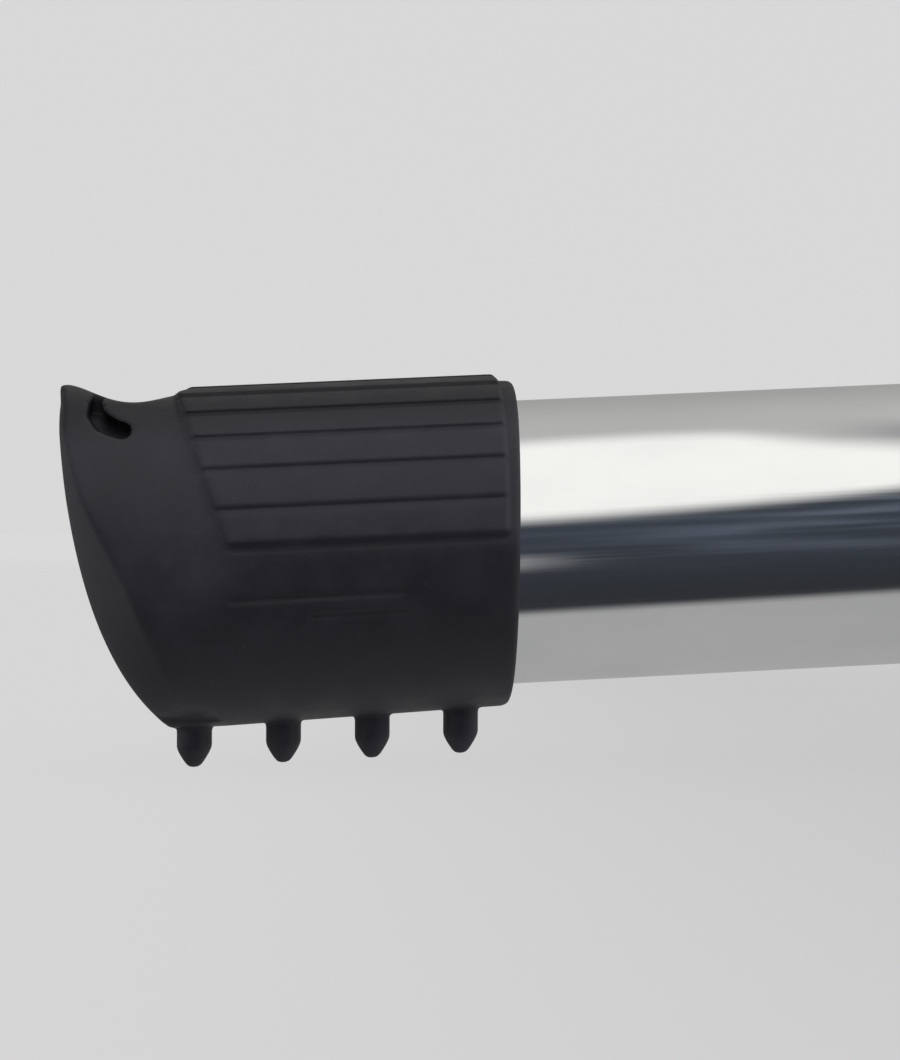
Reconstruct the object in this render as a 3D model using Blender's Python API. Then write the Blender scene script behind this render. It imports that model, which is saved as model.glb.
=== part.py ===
"""Stand-off ladder stabilizer: a crossbar, two bent telescoping arms with rubber caps, two rail clamps.

Frame: +X along the crossbar, arms point to -Y (the wall side), ladder rails go on the +Y side, +Z up.
The origin is at the bottom centre of the whole object, which stands on its cap studs and clamp plates.
"""

import math

import bmesh
import bpy
from mathutils import Vector

# Driving dimensions, in metres.
GAP = 0.0003
ARM_SPAN = 1.118
ARM_REACH = 0.400
ARM_SLOPE = math.radians(2.9)
ARM_RADIUS = 0.01905
TUBE_WALL = 0.00165
BEND_RADIUS = 0.120
CROSSBAR_RADIUS = 0.022225
CROSSBAR_HALF = 0.330
ARM_INNER_X = 0.180
BUSHING_DEPTH = 0.018
BUSHING_FLANGE = 0.003

LOCK_X = 0.290
LOCK_TRAVEL = 0.035
LOCK_BOLT_RADIUS = 0.004
LOCK_SLOT_RADIUS = 0.0046
SADDLE_RADIUS = 0.010
SADDLE_TOP = 0.0015
LOCK_HEAD_RADIUS = 0.0080
LOCK_HEAD_HEIGHT = 0.0036
LOCK_BOLT_PROUD = 0.0065
END_CHAMFER = 0.0007
KNOB_HEIGHT = 0.013
KNOB_RADIUS = 0.0150
KNOB_LOBE = 0.0022
KNOB_LOBES = 5
KNOB_SIDES = 25
KNOB_SECTION = ((0.0, 0.62), (0.003, 0.94), (0.005, 1.0), (0.0105, 1.0), (KNOB_HEIGHT, 0.84))

CAP_LENGTH = 0.060
CAP_BORE_DEPTH = 0.0423
CAP_COLLAR_RADIUS = 0.0218
CAP_BODY_RADIUS = 0.0226
CAP_COLLAR_LENGTH = 0.0019
CAP_TOE_RADIUS = 0.0240
CAP_TOE_START = 0.0438
CAP_HOLLOW = ((0.0438, 0.0222), (0.0500, 0.0193), (0.0523, 0.0206), (0.0585, 0.0239))
CAP_ROCKER = ((0.0600, 0.0239), (0.0601, 0.0060), (0.0563, -0.0132), (0.0460, -0.0223))
STUD_FIRST = 0.0065
STUD_PITCH = 0.0119
STUD_COUNT = 4
STUD_RADIUS = 0.0024
STUD_TIP_RADIUS = 0.0010
STUD_ROOT = 0.0205
STUD_SHOULDER = 0.0251
STUD_REACH = 0.0281

CLAMP_X = 0.200
PLATE_HALF_WIDTH = 0.042
PLATE_THICKNESS = 0.008
PLATE_OUTER = 0.0255
PLATE_CORNER = 0.007
PAD_HALF_WIDTH = 0.020
PAD_HALF_HEIGHT = 0.041
PAD_THICKNESS = 0.004
RAIL_DEPTH = 0.080

U_ROD_RADIUS = 0.003175
U_HALF_SPACING = 0.026
U_HEIGHT = 0.032
U_CORNER = 0.010
U_THREAD_PROUD = 0.020
SLEEVE_WALL = 0.0012
SLEEVE_LEG = 0.012
ROD_HOLE_RADIUS = 0.0038
WASHER_RADIUS = 0.0075
WASHER_THICKNESS = 0.0014
NUT_HEIGHT = 0.009
NUT_BASE_RADIUS = 0.0064
NUT_TOP_RADIUS = 0.0052
WING_HEIGHT = 0.0135
WING_RADIUS = 0.0135
WING_TIP = 0.0022
WING_ROOT = 0.0046
WING_THICKNESS = 0.0022
CLAMP_BOLT_RADIUS = 0.003
CLAMP_HEAD_RADIUS = 0.0058
CLAMP_HEAD_HEIGHT = 0.0030
HEX_RADIUS = 0.00577
HEX_HEIGHT = 0.0055
BOLT_END_PROUD = 0.002

TUBE_SIDES = 32
ROD_SIDES = 12
BEND_STEPS = 9

# Worked-out places.
HALF_SPAN = ARM_SPAN / 2
SLOPE = math.tan(ARM_SLOPE)
CAP_MOUTH = ARM_REACH - CAP_LENGTH
LOWEST_STUD = CAP_MOUTH + STUD_FIRST + (STUD_COUNT - 1) * STUD_PITCH
AXIS_Z = LOWEST_STUD * SLOPE + STUD_REACH
PAD_FACE = PLATE_OUTER + GAP + PAD_THICKNESS
U_BACK = PAD_FACE + RAIL_DEPTH + SLEEVE_WALL + GAP + U_ROD_RADIUS
REAR_END = U_BACK + U_ROD_RADIUS + GAP + SLEEVE_WALL
AXIS_Y = (ARM_REACH - REAR_END) / 2
NUT_BASE = PLATE_OUTER + 2 * GAP + WASHER_THICKNESS
SIDES = {"left": -1, "right": 1}
LEVELS = {"lower": -1, "upper": 1}
PLACES = {"inner": -1, "outer": 1}

COLOURS = {
    "polished_aluminium": ((0.78, 0.79, 0.80), 1.0, 0.16),
    "mill_aluminium": ((0.66, 0.67, 0.68), 1.0, 0.38),
    "zinc_steel": ((0.62, 0.63, 0.64), 1.0, 0.30),
    "black_rubber": ((0.035, 0.036, 0.040), 0.0, 0.55),
    "pad_rubber": ((0.030, 0.030, 0.032), 0.0, 0.75),
    "black_nylon": ((0.025, 0.025, 0.027), 0.0, 0.45),
    "grey_vinyl": ((0.16, 0.16, 0.17), 0.0, 0.35),
}


# Scene, materials and finished objects.

def clear_scene():
    for item in list(bpy.data.objects):
        bpy.data.objects.remove(item, do_unlink=True)


def make_material(name):
    colour, metallic, roughness = COLOURS[name]
    made = bpy.data.materials.new(name)
    made.use_nodes = True
    shader = made.node_tree.nodes["Principled BSDF"]
    shader.inputs["Base Color"].default_value = (*colour, 1.0)
    shader.inputs["Metallic"].default_value = metallic
    shader.inputs["Roughness"].default_value = roughness
    return made


def finish(name, bm, material, parent=None, sharp=40):
    """Turn a bmesh into a named object with outward faces and one material."""
    bmesh.ops.recalc_face_normals(bm, faces=bm.faces)
    mesh = bpy.data.meshes.new(name)
    bm.to_mesh(mesh)
    bm.free()
    mesh.shade_smooth()
    mesh.set_sharp_from_angle(angle=math.radians(sharp))
    made = bpy.data.objects.new(name, mesh)
    bpy.context.scene.collection.objects.link(made)
    if material is not None:
        mesh.materials.append(MATERIALS[material])
    if parent is not None:
        made.parent = parent
    return made


def pivot(name, location):
    """An empty that stands on a joint's axis and carries its moving pieces."""
    made = bpy.data.objects.new(name, None)
    made.empty_display_size = 0.02
    made.location = location
    bpy.context.scene.collection.objects.link(made)
    return made


def combine(target, tool, operation):
    """Add a Boolean whose tool object is hidden and shown as wire."""
    tool.hide_render = True
    tool.display_type = "WIRE"
    step = target.modifiers.new(operation.lower(), "BOOLEAN")
    step.operation = operation
    step.solver = "EXACT"
    step.object = tool


# Building blocks.

def add_ring(bm, centre, first, second, radius, sides):
    """A ring of vertices around centre in the plane of two unit vectors."""
    ring = []
    for step in range(sides):
        angle = 2 * math.pi * step / sides
        offset = first * math.cos(angle) + second * math.sin(angle)
        ring.append(bm.verts.new(centre + offset * radius))
    return ring


def join_rings(bm, ring, following):
    count = len(ring)
    for step in range(count):
        after = (step + 1) % count
        bm.faces.new((ring[step], ring[after], following[after], following[step]))


def plane_of(axis):
    """Two unit vectors perpendicular to an axis."""
    helper = Vector((0, 0, 1)) if abs(axis.z) < 0.9 else Vector((1, 0, 0))
    first = axis.cross(helper).normalized()
    return first, axis.cross(first).normalized()


def add_turned(bm, base, axis, profile, sides):
    """Turn (distance, radius) pairs about an axis, closing both ends with flat faces."""
    axis = axis.normalized()
    first, second = plane_of(axis)
    rings = [add_ring(bm, base + axis * reach, first, second, radius, sides) for reach, radius in profile]
    for ring, following in zip(rings, rings[1:]):
        join_rings(bm, ring, following)
    bm.faces.new(rings[0])
    bm.faces.new(rings[-1])


def add_sleeve(bm, base, axis, profile, sides):
    """Turn a closed loop of (distance, radius) pairs about an axis: a ring, washer or bushing."""
    axis = axis.normalized()
    first, second = plane_of(axis)
    rings = [add_ring(bm, base + axis * reach, first, second, radius, sides) for reach, radius in profile]
    for ring, following in zip(rings, rings[1:] + rings[:1]):
        join_rings(bm, ring, following)


def add_swept(bm, path, normal, radius, sides):
    """Sweep a circle along a flat path, whose plane has the given normal; returns the end rings."""
    rings = []
    for index, point in enumerate(path):
        before = path[max(index - 1, 0)]
        after = path[min(index + 1, len(path) - 1)]
        tangent = (after - before).normalized()
        rings.append(add_ring(bm, point, normal, normal.cross(tangent), radius, sides))
    for ring, following in zip(rings, rings[1:]):
        join_rings(bm, ring, following)
    return rings[0], rings[-1]


def add_rod(bm, path, normal, radius, sides):
    start, end = add_swept(bm, path, normal, radius, sides)
    bm.faces.new(start)
    bm.faces.new(end)


def add_pipe(bm, path, normal, outer, inner, sides):
    outer_start, outer_end = add_swept(bm, path, normal, outer, sides)
    inner_start, inner_end = add_swept(bm, path, normal, inner, sides)
    join_rings(bm, outer_start, inner_start)
    join_rings(bm, outer_end, inner_end)


def add_prism(bm, outline, half_width):
    """Extrude a (y, z) outline along X to both sides of x = 0."""
    left = [bm.verts.new((-half_width, y, z)) for y, z in outline]
    right = [bm.verts.new((half_width, y, z)) for y, z in outline]
    join_rings(bm, left, right)
    bm.faces.new(left)
    bm.faces.new(right)


def arc_points(centre, radius, start, end, steps):
    """Points of an arc in a plane, from one angle to another."""
    points = []
    for step in range(steps + 1):
        angle = start + (end - start) * step / steps
        points.append((centre[0] + radius * math.cos(angle), centre[1] + radius * math.sin(angle)))
    return points


def bezier_points(controls, steps):
    """Points of a cubic curve through its two end controls."""
    points = []
    for step in range(steps + 1):
        t = step / steps
        weights = ((1 - t) ** 3, 3 * t * (1 - t) ** 2, 3 * t * t * (1 - t), t ** 3)
        y = sum(weight * control[0] for weight, control in zip(weights, controls))
        z = sum(weight * control[1] for weight, control in zip(weights, controls))
        points.append((y, z))
    return points


def shift(bm, offset):
    bmesh.ops.translate(bm, verts=bm.verts, vec=Vector(offset))


# The crossbar and its telescoping arms.

def arm_path(side):
    """Centre line of an arm: in along the crossbar, round the bend and down to the cap."""
    outward = Vector((side, 0, 0))
    reach = Vector((0, -math.cos(ARM_SLOPE), -math.sin(ARM_SLOPE)))
    tube_end = (CAP_MOUTH + CAP_BORE_DEPTH - GAP) / math.cos(ARM_SLOPE) - ARM_RADIUS * SLOPE
    path = [outward * ARM_INNER_X]
    across = HALF_SPAN - BEND_RADIUS
    for step in range(BEND_STEPS + 1):
        angle = math.pi / 2 * step / BEND_STEPS
        out = across + BEND_RADIUS * math.sin(angle)
        down = BEND_RADIUS * (1 - math.cos(angle))
        path.append(outward * out + reach * down)
    path.append(outward * HALF_SPAN + reach * tube_end)
    normal = outward.cross(reach).normalized()
    return path, normal


def lock_slot(name, side, half_length):
    """An upright cutter with round ends, half_length long each way along X, for the lock bolt."""
    bm = bmesh.new()
    outline = arc_points((half_length, 0), LOCK_SLOT_RADIUS, -math.pi / 2, math.pi / 2, 8)
    outline += arc_points((-half_length, 0), LOCK_SLOT_RADIUS, math.pi / 2, 3 * math.pi / 2, 8)
    height = CROSSBAR_RADIUS * 1.4
    low = [bm.verts.new((x, y, -height)) for x, y in outline]
    high = [bm.verts.new((x, y, height)) for x, y in outline]
    join_rings(bm, low, high)
    bm.faces.new(low)
    bm.faces.new(high)
    shift(bm, (side * LOCK_X, 0, 0))
    return finish(name, bm, None, parent=AXIS)


def bolt_profile(head_radius, head_height, radius, length):
    """A domed head, its seat, the shank and a chamfered end, as (distance, radius) pairs."""
    dome = [(0, head_radius * 0.45), (head_height * 0.3, head_radius * 0.8), (head_height * 0.7, head_radius)]
    shank = [(head_height, radius), (length - END_CHAMFER, radius), (length, radius - END_CHAMFER)]
    return dome + [(head_height, head_radius)] + shank


def make_crossbar():
    bm = bmesh.new()
    path = [Vector((-CROSSBAR_HALF, 0, 0)), Vector((CROSSBAR_HALF, 0, 0))]
    add_pipe(bm, path, Vector((0, 0, 1)), CROSSBAR_RADIUS, CROSSBAR_RADIUS - TUBE_WALL, TUBE_SIDES)
    tube = finish("crossbar_tube", bm, "polished_aluminium", parent=AXIS)
    for name, side in SIDES.items():
        combine(tube, lock_slot(f"{name}_crossbar_hole_cutter", side, GAP), "DIFFERENCE")


def make_arm(name, side):
    bm = bmesh.new()
    path, normal = arm_path(side)
    add_pipe(bm, path, normal, ARM_RADIUS, ARM_RADIUS - TUBE_WALL, TUBE_SIDES)
    tube = finish(f"{name}_arm_tube", bm, "polished_aluminium", parent=AXIS)
    combine(tube, lock_slot(f"{name}_arm_slot_cutter", side, LOCK_TRAVEL + GAP), "DIFFERENCE")


def make_bushing(name, side):
    """A thin nylon sleeve between the tubes, with a flange on the crossbar's mouth."""
    bore = ARM_RADIUS + GAP
    sleeve = CROSSBAR_RADIUS - TUBE_WALL - GAP
    mouth = BUSHING_DEPTH + GAP
    end = mouth + BUSHING_FLANGE
    flange = CROSSBAR_RADIUS
    profile = [(0, bore), (0, sleeve), (mouth, sleeve), (mouth, flange), (end, flange), (end, bore)]
    bm = bmesh.new()
    base = Vector((side * (CROSSBAR_HALF - BUSHING_DEPTH), 0, 0))
    add_sleeve(bm, base, Vector((side, 0, 0)), profile, TUBE_SIDES)
    finish(f"{name}_mouth_bushing", bm, "black_nylon", parent=AXIS)


# The rubber end caps.

def cap_point(u, z):
    """A cap point at distance u from the mouth and height z from the axis, which slopes with the arm."""
    reach = CAP_MOUTH + u
    return -reach, z - reach * SLOPE


def cap_outline():
    """Side outline of the cap: a hollow behind the upturned toe, and a rocker front."""
    top = CAP_TOE_RADIUS * 1.2
    hollow = bezier_points(CAP_HOLLOW, 6)
    rocker = bezier_points(CAP_ROCKER, 9)
    sole = [(CAP_TOE_START, -top), (-CAP_COLLAR_LENGTH, -top)]
    points = [(-CAP_COLLAR_LENGTH, top), (CAP_TOE_START - GAP, top)] + hollow + rocker + sole
    return [cap_point(u, z) for u, z in points]


def add_cap_turning(bm, profile, sides):
    """Turn (u, radius) pairs about the sloping axis, keeping each ring upright, with closed ends."""
    rings = []
    for u, radius in profile:
        y, z = cap_point(u, 0)
        rings.append(add_ring(bm, Vector((0, y, z)), Vector((1, 0, 0)), Vector((0, 0, 1)), radius, sides))
    for ring, following in zip(rings, rings[1:]):
        join_rings(bm, ring, following)
    bm.faces.new(rings[0])
    bm.faces.new(rings[-1])


def add_stud(bm, u):
    """A round stud with a blunt cone, pointing straight down."""
    y, axis_z = cap_point(u, 0)
    profile = [(STUD_ROOT, STUD_RADIUS), (STUD_SHOULDER, STUD_RADIUS), (STUD_REACH, STUD_TIP_RADIUS)]
    add_turned(bm, Vector((0, y, axis_z)), Vector((0, 0, -1)), profile, 10)


def make_cap(name, side):
    place = (side * HALF_SPAN, 0, 0)
    body = bmesh.new()
    step = CAP_COLLAR_LENGTH + GAP
    outer = [(0, CAP_COLLAR_RADIUS), (CAP_COLLAR_LENGTH, CAP_COLLAR_RADIUS), (step, CAP_BODY_RADIUS)]
    outer += [(CAP_TOE_START, CAP_BODY_RADIUS), (CAP_LENGTH + step, CAP_TOE_RADIUS)]
    add_cap_turning(body, outer, 36)
    shift(body, place)
    cap = finish(f"{name}_end_cap", body, "black_rubber", parent=AXIS)

    shape = bmesh.new()
    add_prism(shape, cap_outline(), CAP_TOE_RADIUS * 1.2)
    shift(shape, place)
    combine(cap, finish(f"{name}_cap_outline", shape, None, parent=AXIS), "INTERSECT")

    bore = bmesh.new()
    bore_radius = ARM_RADIUS + GAP
    add_cap_turning(bore, [(-step, bore_radius), (CAP_BORE_DEPTH, bore_radius)], TUBE_SIDES)
    shift(bore, place)
    combine(cap, finish(f"{name}_cap_bore", bore, None, parent=AXIS), "DIFFERENCE")

    studs = bmesh.new()
    for index in range(STUD_COUNT):
        add_stud(studs, STUD_FIRST + index * STUD_PITCH)
    shift(studs, place)
    combine(cap, finish(f"{name}_cap_studs", studs, None, parent=AXIS), "UNION")


# The locks that hold each arm in the crossbar.

def make_lock_bolt(name, side):
    """A round-headed bolt from below, through the crossbar and the arm's slot."""
    low = -CROSSBAR_RADIUS - GAP - LOCK_HEAD_HEIGHT
    high = CROSSBAR_RADIUS + 2 * GAP + SADDLE_TOP + KNOB_HEIGHT + LOCK_BOLT_PROUD
    profile = bolt_profile(LOCK_HEAD_RADIUS, LOCK_HEAD_HEIGHT, LOCK_BOLT_RADIUS, high - low)
    bm = bmesh.new()
    add_turned(bm, Vector((side * LOCK_X, 0, low)), Vector((0, 0, 1)), profile, ROD_SIDES)
    finish(f"{name}_lock_bolt", bm, "zinc_steel", parent=AXIS)


def make_lock_saddle(name, carrier):
    """A washer whose underside follows the crossbar."""
    bore = LOCK_BOLT_RADIUS + GAP
    low = CROSSBAR_RADIUS * 0.8
    high = CROSSBAR_RADIUS + GAP + SADDLE_TOP
    profile = [(low, bore), (low, SADDLE_RADIUS), (high, SADDLE_RADIUS), (high, bore)]
    bm = bmesh.new()
    add_sleeve(bm, Vector((0, 0, 0)), Vector((0, 0, 1)), profile, 20)
    saddle = finish(f"{name}_lock_saddle", bm, "black_nylon", parent=carrier)
    tool = bmesh.new()
    ends = [(0, CROSSBAR_RADIUS + GAP), (SADDLE_RADIUS * 4, CROSSBAR_RADIUS + GAP)]
    add_turned(tool, Vector((-SADDLE_RADIUS * 2, 0, 0)), Vector((1, 0, 0)), ends, TUBE_SIDES * 2)
    combine(saddle, finish(f"{name}_saddle_cutter", tool, None, parent=carrier), "DIFFERENCE")


def make_lock_knob(name, carrier):
    """A five-lobed hand knob with a bore right through it."""
    bottom = CROSSBAR_RADIUS + 2 * GAP + SADDLE_TOP
    bm = bmesh.new()
    rings = []
    for height, scale in KNOB_SECTION:
        ring = []
        for step in range(KNOB_SIDES):
            angle = 2 * math.pi * step / KNOB_SIDES
            radius = (KNOB_RADIUS + KNOB_LOBE * math.cos(KNOB_LOBES * angle)) * scale
            ring.append(bm.verts.new((radius * math.cos(angle), radius * math.sin(angle), bottom + height)))
        rings.append(ring)
    for height in (KNOB_HEIGHT, 0):
        centre = Vector((0, 0, bottom + height))
        bore = LOCK_BOLT_RADIUS + GAP
        rings.append(add_ring(bm, centre, Vector((1, 0, 0)), Vector((0, 1, 0)), bore, KNOB_SIDES))
    for ring, following in zip(rings, rings[1:] + rings[:1]):
        join_rings(bm, ring, following)
    finish(f"{name}_lock_knob", bm, "black_nylon", parent=carrier)


# The rail clamps.

def plate_outline(facing):
    """Plate section with a round seat for the crossbar; facing is +1 for the ladder side."""
    seat = CROSSBAR_RADIUS + GAP
    inner = PLATE_OUTER - PLATE_THICKNESS
    spread = math.acos(inner / seat)
    points = [(inner, AXIS_Z), (PLATE_OUTER, AXIS_Z), (PLATE_OUTER, -AXIS_Z), (inner, -AXIS_Z)]
    points += arc_points((0, 0), seat, -spread, spread, 10)
    return [(facing * y, z) for y, z in points]


def rod_holes(name, carrier):
    """Cutters for the four U-bolt legs and the two clamp bolts, along Y."""
    bm = bmesh.new()
    section = [(0, ROD_HOLE_RADIUS), (PLATE_OUTER * 3, ROD_HOLE_RADIUS)]
    for level in LEVELS.values():
        for x in (-U_HALF_SPACING, 0, U_HALF_SPACING):
            base = Vector((x, -PLATE_OUTER * 1.5, level * U_HEIGHT))
            add_turned(bm, base, Vector((0, 1, 0)), section, ROD_SIDES)
    return finish(name, bm, None, parent=carrier)


def round_plate_corners(bm):
    """Round the four corners seen along Y."""
    corners = []
    for edge in bm.edges:
        first, second = (vertex.co for vertex in edge.verts)
        along_y = abs(first.x - second.x) < GAP and abs(first.z - second.z) < GAP
        at_end = abs(abs(first.x) - PLATE_HALF_WIDTH) < GAP and abs(abs(first.z) - AXIS_Z) < GAP
        if along_y and at_end:
            corners.append(edge)
    bmesh.ops.bevel(bm, geom=corners, offset=PLATE_CORNER, segments=3, profile=0.5, affect="EDGES")


def make_plate(name, facing, carrier):
    bm = bmesh.new()
    add_prism(bm, plate_outline(facing), PLATE_HALF_WIDTH)
    round_plate_corners(bm)
    plate = finish(name, bm, "mill_aluminium", parent=carrier)
    combine(plate, rod_holes(f"{name}_holes", carrier), "DIFFERENCE")


def make_rail_pad(name, carrier):
    """A rubber pad on the ladder side, with clearance round the two clamp bolt heads."""
    near = PLATE_OUTER + GAP
    far = near + PAD_THICKNESS
    high = PAD_HALF_HEIGHT
    corners = [(near, -high), (far, -high), (far, high), (near, high)]
    bm = bmesh.new()
    add_prism(bm, corners, PAD_HALF_WIDTH)
    pad = finish(f"{name}_rail_pad", bm, "pad_rubber", parent=carrier)
    tool = bmesh.new()
    for level in LEVELS.values():
        base = Vector((0, PLATE_OUTER * 0.8, level * U_HEIGHT))
        radius = CLAMP_HEAD_RADIUS + 2 * GAP
        add_turned(tool, base, Vector((0, 1, 0)), [(0, radius), (PLATE_OUTER, radius)], ROD_SIDES)
    combine(pad, finish(f"{name}_pad_holes", tool, None, parent=carrier), "DIFFERENCE")


def make_clamp_bolt(name, level, carrier):
    """A domed bolt from the ladder side, through both plates."""
    top = PLATE_OUTER + GAP + CLAMP_HEAD_HEIGHT
    length = top + PLATE_OUTER + 2 * GAP + HEX_HEIGHT + BOLT_END_PROUD
    profile = bolt_profile(CLAMP_HEAD_RADIUS, CLAMP_HEAD_HEIGHT, CLAMP_BOLT_RADIUS, length)
    bm = bmesh.new()
    add_turned(bm, Vector((0, top, level * U_HEIGHT)), Vector((0, -1, 0)), profile, ROD_SIDES)
    finish(f"{name}_clamp_bolt", bm, "zinc_steel", parent=carrier)


def make_clamp_nut(name, level, carrier):
    """A hexagon nut on the wall side of the back plate."""
    bm = bmesh.new()
    near = -PLATE_OUTER - GAP
    rings = []
    for y, radius in ((near, HEX_RADIUS), (near - HEX_HEIGHT, HEX_RADIUS)):
        ring = []
        for step in range(ROD_SIDES):
            angle = 2 * math.pi * step / ROD_SIDES
            flat = 1.0 if step % 2 == 0 else math.cos(math.pi / 6)
            x = radius * flat * math.cos(angle)
            z = level * U_HEIGHT + radius * flat * math.sin(angle)
            ring.append(bm.verts.new((x, y, z)))
        rings.append(ring)
    for y in (near - HEX_HEIGHT, near):
        centre = Vector((0, y, level * U_HEIGHT))
        bore = CLAMP_BOLT_RADIUS + GAP
        rings.append(add_ring(bm, centre, Vector((1, 0, 0)), Vector((0, 0, 1)), bore, ROD_SIDES))
    for ring, following in zip(rings, rings[1:] + rings[:1]):
        join_rings(bm, ring, following)
    finish(f"{name}_clamp_nut", bm, "zinc_steel", parent=carrier)


def u_bolt_path(leg_start):
    """Square U in the XY plane: up one leg, across the back and down the other leg."""
    path = [Vector((-U_HALF_SPACING, leg_start, 0))]
    middle = U_HALF_SPACING - U_CORNER
    for x, y in arc_points((-middle, U_BACK - U_CORNER), U_CORNER, math.pi, math.pi / 2, 4):
        path.append(Vector((x, y, 0)))
    for x, y in arc_points((middle, U_BACK - U_CORNER), U_CORNER, math.pi / 2, 0, 4):
        path.append(Vector((x, y, 0)))
    path.append(Vector((U_HALF_SPACING, leg_start, 0)))
    return path


def make_u_bolt(name, carrier):
    bm = bmesh.new()
    leg_start = -(NUT_BASE + NUT_HEIGHT + U_THREAD_PROUD)
    add_rod(bm, u_bolt_path(leg_start), Vector((0, 0, 1)), U_ROD_RADIUS, ROD_SIDES)
    finish(f"{name}_u_bolt", bm, "zinc_steel", parent=carrier)


def make_u_sleeve(name, carrier):
    """A vinyl sleeve over the bend of the U-bolt, so that it doesn't bite the rail."""
    bm = bmesh.new()
    inner = U_ROD_RADIUS + GAP
    path = u_bolt_path(U_BACK - U_CORNER - SLEEVE_LEG)
    add_pipe(bm, path, Vector((0, 0, 1)), inner + SLEEVE_WALL, inner, 10)
    finish(f"{name}_u_sleeve", bm, "grey_vinyl", parent=carrier)


def make_washer(name, x, level, carrier):
    bore = U_ROD_RADIUS + GAP
    profile = [(0, bore), (0, WASHER_RADIUS), (WASHER_THICKNESS, WASHER_RADIUS), (WASHER_THICKNESS, bore)]
    bm = bmesh.new()
    base = Vector((x, -PLATE_OUTER - GAP, level * U_HEIGHT))
    add_sleeve(bm, base, Vector((0, -1, 0)), profile, ROD_SIDES)
    finish(f"{name}_washer", bm, "zinc_steel", parent=carrier)


def wing_outline(side):
    """One wing of a wing nut, as (x, y) points that stand out from the hub."""
    centre = (WING_RADIUS - WING_TIP, WING_HEIGHT - WING_TIP)
    tip = arc_points(centre, WING_TIP, -0.35, math.pi * 0.75, 5)
    points = [(WING_ROOT, NUT_HEIGHT * 0.13)] + tip + [(WING_ROOT, NUT_HEIGHT * 0.82)]
    return [(side * x, -y) for x, y in points]


def make_wing_nut(name, carrier):
    """A hub with a bore and two wings; it turns about the U-bolt's leg."""
    bore = U_ROD_RADIUS + GAP
    bm = bmesh.new()
    profile = [(0, bore), (0, NUT_BASE_RADIUS), (NUT_HEIGHT, NUT_TOP_RADIUS), (NUT_HEIGHT, bore)]
    add_sleeve(bm, Vector((0, 0, 0)), Vector((0, -1, 0)), profile, ROD_SIDES)
    nut = finish(f"{name}_wing_nut", bm, "zinc_steel", parent=carrier)
    wings = bmesh.new()
    for side in (-1, 1):
        outline = wing_outline(side)
        low = [wings.verts.new((x, y, -WING_THICKNESS / 2)) for x, y in outline]
        high = [wings.verts.new((x, y, WING_THICKNESS / 2)) for x, y in outline]
        join_rings(wings, low, high)
        wings.faces.new(low)
        wings.faces.new(high)
    combine(nut, finish(f"{name}_wings", wings, None, parent=carrier), "UNION")


def make_u_bolt_set(clamp_name, side, clamp, level_name, level):
    """One U-bolt with its sleeve, two washers and two wing nuts."""
    name = f"{clamp_name}_{level_name}"
    centre = Vector((side * CLAMP_X, AXIS_Y, AXIS_Z + level * U_HEIGHT))
    slider = pivot(f"{name}_u_bolt_axis", centre)
    make_u_bolt(name, slider)
    make_u_sleeve(name, slider)
    for place_name, place in PLACES.items():
        x = side * place * U_HALF_SPACING
        make_washer(f"{name}_{place_name}", x, level, clamp)
        turning = pivot(f"{name}_{place_name}_nut_axis", centre + Vector((x, -NUT_BASE, 0)))
        make_wing_nut(f"{name}_{place_name}", turning)


def make_clamp(name, side):
    clamp = pivot(f"{name}_clamp_axis", (side * CLAMP_X, AXIS_Y, AXIS_Z))
    make_plate(f"{name}_rail_plate", 1, clamp)
    make_plate(f"{name}_back_plate", -1, clamp)
    make_rail_pad(name, clamp)
    for level_name, level in LEVELS.items():
        make_clamp_bolt(f"{name}_{level_name}", level, clamp)
        make_clamp_nut(f"{name}_{level_name}", level, clamp)
        make_u_bolt_set(name, side, clamp, level_name, level)


def make_lock(name, side):
    make_lock_bolt(name, side)
    carrier = pivot(f"{name}_lock_axis", (side * LOCK_X, AXIS_Y, AXIS_Z))
    make_lock_saddle(name, carrier)
    make_lock_knob(name, carrier)


clear_scene()
MATERIALS = {name: make_material(name) for name in COLOURS}
AXIS = pivot("crossbar_axis", (0, AXIS_Y, AXIS_Z))
make_crossbar()
for side_name, side_sign in SIDES.items():
    make_arm(side_name, side_sign)
    make_bushing(side_name, side_sign)
    make_cap(side_name, side_sign)
    make_lock(side_name, side_sign)
    make_clamp(side_name, side_sign)
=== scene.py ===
import contextlib
from math import acos, ceil, cos, hypot, pi, radians, sin, sqrt, tan

import bmesh
import bpy
import numpy as np
from mathutils import Matrix, Vector


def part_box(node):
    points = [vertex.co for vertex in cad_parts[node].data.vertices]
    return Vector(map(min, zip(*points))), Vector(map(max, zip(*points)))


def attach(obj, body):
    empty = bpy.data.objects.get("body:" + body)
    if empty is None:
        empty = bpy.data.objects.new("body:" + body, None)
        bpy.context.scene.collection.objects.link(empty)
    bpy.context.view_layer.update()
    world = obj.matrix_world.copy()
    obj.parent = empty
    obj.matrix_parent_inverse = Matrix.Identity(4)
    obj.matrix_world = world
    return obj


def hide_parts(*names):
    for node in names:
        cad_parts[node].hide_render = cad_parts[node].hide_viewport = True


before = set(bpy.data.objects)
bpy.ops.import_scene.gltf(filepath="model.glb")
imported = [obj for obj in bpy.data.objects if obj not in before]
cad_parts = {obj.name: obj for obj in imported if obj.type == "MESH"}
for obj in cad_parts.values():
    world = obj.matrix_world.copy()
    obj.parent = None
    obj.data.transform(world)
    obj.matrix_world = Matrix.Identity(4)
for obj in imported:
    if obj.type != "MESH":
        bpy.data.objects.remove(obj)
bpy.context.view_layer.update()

MM = 0.001
SIDES = {"left": -1, "right": 1}
LEVELS = {"lower": -1, "upper": 1}
PLACES = {"inner": -1, "outer": 1}

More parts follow.
